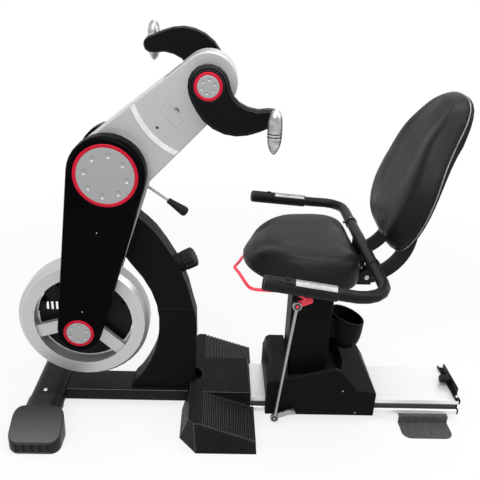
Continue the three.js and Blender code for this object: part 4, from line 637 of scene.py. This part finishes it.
def carve(obj, cutter):
    """Cuts one object out of another and deletes the cutter."""
    hole = obj.modifiers.new("hole", "BOOLEAN")
    hole.operation = "DIFFERENCE"
    hole.object = cutter
    settle(obj)
    bpy.data.objects.remove(cutter)
    return obj


def smooth_path(points, steps, closed=False):
    """Places along a smooth line through points."""
    count = len(points)
    path = []
    for i in range(count if closed else count - 1):
        if closed:
            a, b, c, d = (points[(i + k) % count] for k in (-1, 0, 1, 2))
        else:
            a, b, c, d = (points[min(max(i + k, 0), count - 1)] for k in (-1, 0, 1, 2))
        for step in range(steps):
            t = step / steps
            square = 2 * a - 5 * b + 4 * c - d
            cube = 3 * b - a - 3 * c + d
            path.append((2 * b + (c - a) * t + square * t ** 2 + cube * t ** 3) / 2)
    if not closed:
        path.append(points[-1])
    return path


def cord(name, path, thick, closed=False):
    """A round rod or cord along a path."""
    curve = bpy.data.curves.new(name, "CURVE")
    curve.dimensions = "3D"
    curve.bevel_depth = thick
    curve.bevel_resolution = 4
    curve.use_fill_caps = not closed
    line = curve.splines.new("POLY")
    line.points.add(len(path) - 1)
    for point, place in zip(line.points, path):
        point.co = (*place, 1)
    line.use_cyclic_u = closed
    made = new_object(name, curve)
    graph = bpy.context.evaluated_depsgraph_get()
    mesh = bpy.data.meshes.new_from_object(made.evaluated_get(graph))
    bpy.data.objects.remove(made)
    return new_object(name, mesh)


def round_edges(obj, width, segments=3, angle=EDGE_ANGLE):
    bevel = obj.modifiers.new("edges", "BEVEL")
    bevel.width = width
    bevel.segments = segments
    bevel.limit_method = "ANGLE"
    bevel.angle_limit = angle
    obj.modifiers.new("normals", "WEIGHTED_NORMAL")
    return obj


# Trim caps: a dimpled silver disc in a red ring

DIMPLE_TURN = math.radians(80)
DISC_SHARE = 0.8
DISC_CHAMFER = 0.0012
DISC_EDGE = 0.0003
RING_SHARE = 0.5
CAPS = {
    "pivot_cap": dict(body="frame", disc=0.0765, count=8, dimple=0.008, reach_share=0.735, sunk_share=0.36),
    "axle_cap": dict(body="frame", disc=0.035, count=6, dimple=0.0048, reach_share=0.725, sunk_share=0.5),
    "crank_cap": dict(body="cranks", disc=0.0275, count=6, dimple=0.0042, reach_share=0.61, sunk_share=0.5),
}


def dimple_balls(facts, place, side, disc_height):
    """Balls that each sink a shallow round dimple into the disc's face."""
    depth = facts["dimple"] * facts["sunk_share"]
    ball = (facts["dimple"] ** 2 + depth ** 2) / (2 * depth)
    reach = facts["disc"] * facts["reach_share"]
    bm = bmesh.new()
    lift = side * (disc_height + ball - depth)
    for i in range(facts["count"]):
        angle = DIMPLE_TURN + 2 * math.pi * i / facts["count"]
        shift = Vector((reach * math.cos(angle), lift, reach * math.sin(angle)))
        turn = Matrix.Translation(place + shift) @ Matrix.Rotation(math.pi / 2, 4, "X")
        bmesh.ops.create_uvsphere(bm, u_segments=24, v_segments=40, radius=ball, matrix=turn)
    mesh = bpy.data.meshes.new("dimples")
    bm.to_mesh(mesh)
    bm.free()
    return new_object("dimples", mesh)


def trim_cap(kind, place_name, side, facts):
    node = f"{kind}_{place_name}"
    low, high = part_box(node)
    middle = centre_of(node)
    outer = (high[0] - low[0]) / 2
    height = high[1] - low[1]
    face = low[1] if side > 0 else high[1]
    place = Vector((middle.x, face, middle.z))
    axis = Y * side
    disc_radius = facts["disc"]
    disc_height = height * DISC_SHARE
    profile = [
        (0, 0), (disc_radius, 0), (disc_radius, disc_height * DISC_SHARE),
        (disc_radius - DISC_CHAMFER, disc_height), (0, disc_height),
    ]
    disc = lathe(f"{node}_disc", profile, place, axis)
    carve(disc, dimple_balls(facts, place, side, disc_height))
    round_edges(disc, DISC_EDGE, 2)
    piece(disc, facts["body"], "silver_paint", disc_silver, node)
    width = (outer - disc_radius) / 2
    rise = height * RING_SHARE
    border = ring(f"{node}_ring", disc_radius + width, width, place + axis * rise, axis, rise / width)
    piece(border, facts["body"], "red_paint", red)


for cap_kind, cap_facts in CAPS.items():
    trim_cap(cap_kind, "near", -1, cap_facts)
    trim_cap(cap_kind, "far", 1, cap_facts)


# Hand grips: turned bullets with two rubber rings

HANDLE_PROFILE_SHARES = [
    (0, -0.5), (0.1, -0.495), (0.24, -0.478), (0.42, -0.447), (0.6, -0.4), (0.76, -0.34), (0.88, -0.27),
    (0.96, -0.2), (1, -0.13), (1, -0.115), (0.95, -0.105), (0.95, -0.085), (1, -0.075), (1, -0.045),
    (0.95, -0.035), (0.95, -0.015), (1, -0.005), (1, 0.1), (0.99, 0.18), (0.95, 0.26), (0.87, 0.335),
    (0.74, 0.4), (0.56, 0.45), (0.36, 0.48), (0.16, 0.496), (0, 0.5),
]
HANDLE_EDGE = 0.0004
HANDLE_EDGE_ANGLE = math.radians(50)
HANDLE_SEAL = 0.0018
HANDLE_RING_SHARES = [-0.095, -0.025]


def hand_grip(place_name):
    node = f"crank_handle_{place_name}"
    low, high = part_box(node)
    middle = centre_of(node)
    radius = (high[0] - low[0]) / 2
    length = high[2] - low[2]
    profile = [(r * radius, h * length) for r, h in HANDLE_PROFILE_SHARES]
    body = lathe(f"{node}_body", profile, middle, Z, 64)
    round_edges(body, HANDLE_EDGE, 2, HANDLE_EDGE_ANGLE)
    piece(body, f"hand_grip_{place_name}", "chrome", grip_metal, node)
    for i, share in enumerate(HANDLE_RING_SHARES):
        place = middle + Z * share * length
        seal = ring(f"{node}_seal_{i + 1}", radius - HANDLE_SEAL, HANDLE_SEAL, place, Z, 1.0, 64)
        piece(seal, f"hand_grip_{place_name}", "rubber", rubber)


hand_grip("near")
hand_grip("far")


# Tilt lock lever: a hub, a thin steel rod and a tapered black grip

LEVER_HUB = Vector((-0.33315, 0, 0.76))
LEVER_TURN = math.radians(-34.8)
LEVER_WAY = Vector((math.cos(LEVER_TURN), 0, math.sin(LEVER_TURN)))
LEVER_LENGTH = 0.178
LEVER_GRIP_LENGTH = 0.066
LEVER_GRIP_RADIUS = 0.0142
LEVER_ROD_RADIUS = 0.004
LEVER_HUB_RADIUS = 0.012
LEVER_HUB_HALF = 0.015
LEVER_PIN_RADIUS = 0.005
LEVER_BEND_SHARE = 0.4
LEVER_INSERT_SHARE = 0.2
LEVER_GRIP_SHARES = [
    (0, 0), (0.5, 0.003), (0.58, 0.03), (0.6, 0.08), (0.68, 0.25), (0.84, 0.52), (0.97, 0.76), (1, 0.84),
    (0.94, 0.92), (0.72, 0.975), (0.36, 0.996), (0, 1),
]


def lock_lever():
    grip_start = LEVER_HUB + LEVER_WAY * (LEVER_LENGTH - LEVER_GRIP_LENGTH)
    profile = [(r * LEVER_GRIP_RADIUS, h * LEVER_GRIP_LENGTH) for r, h in LEVER_GRIP_SHARES]
    grip = lathe("lever_grip", profile, grip_start, LEVER_WAY, 48)
    piece(grip, "tilt_lock", "black_plastic", rubber, "tilt_lock_lever")
    bend = LEVER_HUB + LEVER_WAY * LEVER_LENGTH * LEVER_BEND_SHARE
    rod_end = grip_start + LEVER_WAY * LEVER_GRIP_LENGTH * LEVER_INSERT_SHARE
    rod_path = smooth_path([LEVER_HUB, bend, rod_end], 6)
    piece(cord("lever_rod", rod_path, LEVER_ROD_RADIUS), "tilt_lock", "steel", steel)
    pin_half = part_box("tilt_lock_lever")[1][1]
    half_profile = [
        (0, pin_half), (LEVER_PIN_RADIUS, pin_half), (LEVER_PIN_RADIUS, LEVER_HUB_HALF),
        (LEVER_HUB_RADIUS - CHAMFER, LEVER_HUB_HALF), (LEVER_HUB_RADIUS, LEVER_HUB_HALF - CHAMFER),
    ]
    hub = lathe("lever_hub", both_ways(half_profile), LEVER_HUB, Y, 48)
    piece(hub, "tilt_lock", "steel", steel)


lock_lever()


# Seat release: a bent red rod, two tabs on a shaft, and the pin of the link rod

LOOP_HALF = 0.125
LOOP_PATH = [
    (0.15885, 1, 0.457), (0.13, 1, 0.4725), (0.095, 1, 0.4795), (0.05, 1, 0.4815), (0.022, 1, 0.4828),
    (0.005, 0.97, 0.4836), (-0.006, 0.88, 0.4845), (-0.018, 0.62, 0.4865), (-0.0305, 0.3, 0.489),
    (-0.039, 0.12, 0.4902), (-0.0432, 0, 0.4908),
]
LOOP_RADIUS = 0.0048
TAB_RADIUS = 0.01
TAB_THICK = 0.005
TAB_EDGE = 0.0008
SHAFT_PLACE = Vector((0.16885, 0, 0.452))
SHAFT_RADIUS = 0.006
LINK_TOP = Vector((0.13385, 0, 0.437))
LINK_PIN_RADIUS = 0.0047
SHAFT_INSERT_SHARE = 0.8
ARC_STEPS = 16


def stadium(name, first, second, radius, thick, middle_y):
    """A flat plate with two round ends, its thickness along Y."""
    way = (second - first).normalized()
    start = math.atan2(way.z, way.x)
    points = []
    for centre, turn in ((second, start - math.pi / 2), (first, start + math.pi / 2)):
        for i in range(ARC_STEPS + 1):
            angle = turn + math.pi * i / ARC_STEPS
            points.append(centre + Vector((math.cos(angle), 0, math.sin(angle))) * radius)
    bm = bmesh.new()
    face = bm.faces.new([bm.verts.new(p + Y * (middle_y - thick / 2)) for p in points])
    made = bmesh.ops.extrude_face_region(bm, geom=[face])
    moved = [item for item in made["geom"] if isinstance(item, bmesh.types.BMVert)]
    bmesh.ops.translate(bm, vec=Y * thick, verts=moved)
    bmesh.ops.recalc_face_normals(bm, faces=bm.faces)
    mesh = bpy.data.meshes.new(name)
    bm.to_mesh(mesh)
    bm.free()
    return round_edges(new_object(name, mesh), TAB_EDGE, 2)


def release_lever():
    near_half = [Vector((x, -share * LOOP_HALF, z)) for x, share, z in LOOP_PATH]
    far_half = [Vector((x, share * LOOP_HALF, z)) for x, share, z in LOOP_PATH]
    path = smooth_path(near_half + far_half[-2::-1], 5)
    loop = cord("release_loop", path, LOOP_RADIUS)
    piece(loop, "release", "red_paint", lever_red, "release_lever")
    for name, side in (("near", -1), ("far", 1)):
        tab = stadium(f"release_tab_{name}", SHAFT_PLACE, LINK_TOP, TAB_RADIUS, TAB_THICK, side * LOOP_HALF)
        piece(tab, "release", "red_paint", lever_red)
    shaft_half = LOOP_HALF + TAB_THICK * SHAFT_INSERT_SHARE
    half_profile = [
        (0, shaft_half), (SHAFT_RADIUS - CHAMFER, shaft_half), (SHAFT_RADIUS, shaft_half - CHAMFER),
    ]
    shaft = lathe("release_shaft", both_ways(half_profile), SHAFT_PLACE, Y, 40)
    piece(shaft, "release", "red_paint", lever_red)
    pin_length = -LOOP_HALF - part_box("release_lever")[0][1]
    pin_profile = [
        (0, 0), (LINK_PIN_RADIUS, 0), (LINK_PIN_RADIUS, pin_length - CHAMFER),
        (LINK_PIN_RADIUS - CHAMFER, pin_length), (0, pin_length),
    ]
    pin = lathe("release_pin", pin_profile, LINK_TOP - Y * LOOP_HALF, -Y, 32)
    piece(pin, "release", "red_paint", lever_red)


release_lever()


# Dark bearing rings in the two eyes of the link rod

LINK_BOTTOM = Vector((0.09485, 0, 0.04))
BEARING_RADIUS = 0.0079
BEARING_THICK = 0.0018
BEARING_SQUEEZE_SHARE = 0.4


def link_bearing(place_name, eye):
    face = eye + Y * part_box("link_rod")[0][1]
    name = f"link_bearing_{place_name}"
    seal = ring(name, BEARING_RADIUS, BEARING_THICK, face, Y, BEARING_SQUEEZE_SHARE, 48)
    piece(seal, "link", "rubber", rubber)


link_bearing("top", LINK_TOP)
link_bearing("bottom", LINK_BOTTOM)


# Screws: button heads with a round socket

SCREW_SHARES = [
    (0, 0), (1, 0), (1, 0.1), (0.93, 0.26), (0.78, 0.42), (0.6, 0.52), (0.48, 0.55), (0.42, 0.5),
    (0.42, 0.25), (0, 0.25),
]

# Each screw's name, body, slot, finish, place, axis and radius
SCREWS = [
    ("tube_screw_near", "frame", "chrome", chrome, (-0.613, -0.084, 0.092), Z, 0.007),
    ("tube_screw_far", "frame", "chrome", chrome, (-0.613, 0.084, 0.092), Z, 0.007),
    ("cover_screw_near_1", "frame", "steel", steel, (-0.4254, -0.103, 0.6315), -Y, 0.0022),
    ("cover_screw_near_2", "frame", "steel", steel, (-0.4795, -0.103, 0.384), -Y, 0.0022),
    ("carriage_screw_1", "carriage", "steel", steel, (0.3025, -0.112, 0.1295), -Y, 0.0024),
    ("carriage_screw_2", "carriage", "steel", steel, (0.3496, -0.112, 0.0484), -Y, 0.0024),
    ("strap_bolt_near", "frame", "chrome", chrome, (0.67835, -0.08, 0.0924), Z, 0.0058),
    ("strap_bolt_far", "frame", "chrome", chrome, (0.67835, 0.08, 0.0924), Z, 0.0058),
    ("bracket_bolt_1", "carriage", "chrome", chrome, (0.2945, -0.064, 0.4945), -Y, 0.004),
    ("bracket_bolt_2", "carriage", "chrome", chrome, (0.3302, -0.064, 0.5424), -Y, 0.005),
    ("bracket_bolt_3", "carriage", "chrome", chrome, (0.3435, -0.064, 0.5424), -Y, 0.004),
    ("bracket_bolt_4", "carriage", "chrome", chrome, (0.3205, -0.064, 0.5305), -Y, 0.0035),
    ("collar_screw_far", "bar_far", "steel", steel, (0.3228, 0.1545, 0.601), Z, 0.0032),
    ("recline_bolt_near", "backrest", "chrome", chrome, (0.330126, -0.096, 0.515472), -Y, 0.0075),
    ("recline_bolt_far", "backrest", "chrome", chrome, (0.330126, 0.096, 0.515472), Y, 0.0075),
    ("bar_bolt_1", "backrest", "chrome", chrome, (0.352, -0.095, 0.5165), -Y, 0.005),
    ("bar_bolt_2", "backrest", "chrome", chrome, (0.374, -0.095, 0.5245), -Y, 0.005),
]


def screw(name, body, slot_name, finish, place, axis, radius):
    profile = [(r * radius, h * radius) for r, h in SCREW_SHARES]
    head = lathe(name, profile, Vector(place), axis, 32)
    piece(head, body, slot_name, finish)


for screw_facts in SCREWS:
    screw(*screw_facts)


# A small clamp knob on the far collar of the handlebar

KNOB_RADIUS = 0.0048
KNOB_PLACE = Vector((0.3095, 0.1545, 0.585))
KNOB_SHARES = [(0, 0), (0.5, 0), (0.5, 0.5), (0.9, 0.6), (1, 0.75), (1, 1.5), (0.85, 1.75), (0, 1.8)]


def clamp_knob():
    profile = [(r * KNOB_RADIUS, h * KNOB_RADIUS) for r, h in KNOB_SHARES]
    knob = lathe("collar_knob_far", profile, KNOB_PLACE, -X, 32)
    piece(knob, "bar_far", "black_plastic", painted_highlight)


clamp_knob()


# Cushions: swollen from their CAD solids by cloth under pressure

PRESSURE = 4.0
CLOTH_FRAMES = 20
CALM_ROUNDS = 40
GRID_ROUNDS = 3
CUSHION_SHRINK = 0.0005
CUSHION_VOXEL = 0.006
CUSHION_SWELL = 0.005
TINY = 1e-9


def full_copy(node, name):
    """The filled-out shape of a CAD cushion, moved inwards along its normals."""
    bm = bmesh.new()
    bm.from_mesh(nodes[node].data)
    bmesh.ops.remove_doubles(bm, verts=bm.verts, dist=WELD_DISTANCE)
    bmesh.ops.convex_hull(bm, input=bm.verts)
    loose = [v for v in bm.verts if not v.link_faces]
    bmesh.ops.delete(bm, geom=loose, context="VERTS")
    bmesh.ops.recalc_face_normals(bm, faces=bm.faces)
    bm.normal_update()
    shifts = [v.normal * -CUSHION_SHRINK for v in bm.verts]
    for vertex, shift in zip(bm.verts, shifts):
        vertex.co += shift
    mesh = bpy.data.meshes.new(name)
    bm.to_mesh(mesh)
    bm.free()
    return new_object(name, mesh)


def stuffed(node, name, held):
    """A cushion under cloth pressure. held tells which points are fixed to the board."""
    obj = full_copy(node, name)
    grid = obj.modifiers.new("grid", "REMESH")
    grid.mode = "VOXEL"
    grid.voxel_size = CUSHION_VOXEL
    settle(obj)
    relax(obj, GRID_ROUNDS)
    start = [v.co.copy() for v in obj.data.vertices]
    pins = obj.vertex_groups.new(name="held")
    pins.add([i for i, point in enumerate(start) if held(point)], 1.0, "REPLACE")
    cloth = obj.modifiers.new("stuffing", "CLOTH")
    cloth.settings.use_pressure = True
    cloth.settings.uniform_pressure_force = PRESSURE
    cloth.settings.effector_weights.gravity = 0
    cloth.settings.vertex_group_mass = pins.name
    for step in range(1, CLOTH_FRAMES + 1):
        scene.frame_set(step)
    settle(obj)
    scene.frame_set(1)
    obj.vertex_groups.clear()
    swell(obj, start)
    return obj


def swell(obj, start):
    """Keeps the broad swelling of the cloth and evens out its wrinkles."""
    before = np.array([tuple(point) for point in start])
    shifts = np.array([tuple(v.co) for v in obj.data.vertices]) - before
    lengths = np.linalg.norm(shifts, axis=1)[:, None]
    shifts *= np.minimum(1, CUSHION_SWELL / np.maximum(lengths, TINY))
    edges = np.array([tuple(edge.vertices) for edge in obj.data.edges])
    counts = np.bincount(edges.ravel(), minlength=len(shifts))[:, None]
    for _ in range(CALM_ROUNDS):
        total = np.zeros_like(shifts)
        np.add.at(total, edges[:, 0], shifts[edges[:, 1]])
        np.add.at(total, edges[:, 1], shifts[edges[:, 0]])
        shifts = (shifts + total / counts) / 2
    for vertex, place in zip(obj.data.vertices, before + shifts):
        vertex.co = place


def fit_box(obj, node, wider=0.0, higher=0.0):
    """Stretches a cushion's cover to the size and place of its CAD solid, and a little more."""
    low, high = (Vector(corner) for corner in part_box(node))
    low.y -= wider
    high.y += wider
    high.z += higher
    places = np.array([tuple(v.co) for v in obj.data.vertices])
    least = places.min(axis=0)
    scale = (np.array(high) - np.array(low)) / (places.max(axis=0) - least)
    for vertex, place in zip(obj.data.vertices, np.array(low) + (places - least) * scale):
        vertex.co = place


SHOULDER_STATIONS = 24
SHOULDER_CALM = 12
SHOULDER_START_SHARE = 0.25
RISE_START_SHARE = 0.3
RISE_SPAN_SHARE = 0.5


def fill_shoulders(obj, along, out, most):
    """Lifts a cushion's face between its middle and its sides, for a flatter top and fuller sides."""
    places = np.array([tuple(v.co) for v in obj.data.vertices])
    reach = places @ np.array(along)
    height = places @ np.array(out)
    aside = np.abs(places[:, 1])
    stations, step = np.linspace(reach.min(), reach.max(), SHOULDER_STATIONS, retstep=True)
    widest = [aside[np.abs(reach - station) <= step].max() for station in stations]
    share = aside / np.interp(reach, stations, widest)
    level = (height - height.min()) / (height.max() - height.min())
    outwards = np.clip((share - SHOULDER_START_SHARE) / (1 - SHOULDER_START_SHARE), 0, 1)
    bell = np.sin(np.pi * outwards ** 2) ** 2
    rise = np.clip((level - RISE_START_SHARE) / RISE_SPAN_SHARE, 0, 1)
    lift = most * bell * rise * rise * (3 - 2 * rise)
    room = height.max() - height
    lift *= room / (lift + room + TINY)
    for vertex, place in zip(obj.data.vertices, places + lift[:, None] * np.array(out)):
        vertex.co = place
    relax(obj, SHOULDER_CALM)


def relax(obj, rounds):
    smooth = obj.modifiers.new("smooth", "SMOOTH")
    smooth.factor = 0.5
    smooth.iterations = rounds
    settle(obj)


def refine(obj):
    finer = obj.modifiers.new("finer", "SUBSURF")
    finer.levels = 1
    finer.render_levels = 1
    settle(obj)


def rim(node, on_rim, across, along):
    """The corner points of a CAD solid that on_rim picks, in order round their middle."""
    seen = {tuple(round(c, 5) for c in v.co) for v in nodes[node].data.vertices if on_rim(v.co)}
    points = sorted((Vector(c) for c in seen), key=lambda p: tuple(p))
    middle = sum(points, Vector()) / len(points)
    return sorted(points, key=lambda p: math.atan2((p - middle).dot(along), (p - middle).dot(across)))


PIPING_RADIUS = 0.0018
BOARD_GAP = 0.0002
SEAT_WIDER = 0.004
SEAT_HIGHER = 0.0115
SEAT_SHOULDER = 0.035
SEAT_HELD = 0.012
SEAT_RIM_REACH = 0.0001


def seat_cushion():
    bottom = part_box("seat_cushion")[0][2]
    obj = stuffed("seat_cushion", "seat_cushion_cover", lambda p: p.z < bottom + SEAT_HELD)
    refine(obj)
    fill_shoulders(obj, X, Z, SEAT_SHOULDER)
    fit_box(obj, "seat_cushion", SEAT_WIDER, SEAT_HIGHER)
    for vertex in obj.data.vertices:
        vertex.co.z = max(vertex.co.z, bottom + BOARD_GAP)
    piece(obj, "carriage", "vinyl", vinyl, "seat_cushion")
    edge = rim("seat_cushion", lambda p: p.z < bottom + SEAT_RIM_REACH, X, Y)
    path = smooth_path([p + Z * PIPING_RADIUS for p in edge], 2, closed=True)
    piece(cord("seat_piping", path, PIPING_RADIUS, closed=True), "carriage", "vinyl", piping)


# The backrest's own directions: its foot, its lean, and the bow of its top

BACK_FOOT = Vector((0.41485, 0, 0.590))
BACK_LEAN = math.radians(15)
BACK_UP = Vector((math.sin(BACK_LEAN), 0, math.cos(BACK_LEAN)))
BACK_AHEAD = Vector((-math.cos(BACK_LEAN), 0, math.sin(BACK_LEAN)))
BACK_RISE = 0.452
BACK_BOW = 0.024
BOW_START_SHARE = 0.55
BOW_SPAN_SHARE = 0.4
BACK_SEAM = 0.0123
BACK_SHOULDER = 0.02
BACK_HELD = 0.01
BACK_RIM_REACH = 0.0006
SLOT_RANGE = (0.082, 0.096)


def before_seam(point):
    """How far a point lies in front of the backrest's seam."""
    share = ((point - BACK_FOOT).dot(BACK_UP) / BACK_RISE - BOW_START_SHARE) / BOW_SPAN_SHARE
    share = min(max(share, 0), 1)
    bow = BACK_BOW * share * share * (3 - 2 * share)
    return (point - BACK_FOOT).dot(BACK_AHEAD) + bow - BACK_SEAM


def back_cushion():
    obj = stuffed("back_cushion", "back_cushion_cover", lambda p: before_seam(p) < BACK_HELD)
    refine(obj)
    fill_shoulders(obj, BACK_UP, BACK_AHEAD, BACK_SHOULDER)
    fit_box(obj, "back_cushion")
    for vertex in obj.data.vertices:
        vertex.co += BACK_AHEAD * max(0, BOARD_GAP - before_seam(vertex.co))
    piece(obj, "backrest", "vinyl", vinyl, "back_cushion")

    def on_rim(point):
        in_slot = SLOT_RANGE[0] < abs(point.y) < SLOT_RANGE[1] and point.z < centre_of("back_cushion").z
        return abs(before_seam(point)) < BACK_RIM_REACH and not in_slot

    edge = rim("back_cushion", on_rim, Y, BACK_UP)
    path = smooth_path(edge, 2, closed=True)
    piece(cord("back_piping", path, PIPING_RADIUS, closed=True), "backrest", "vinyl", piping)


seat_cushion()
back_cushion()
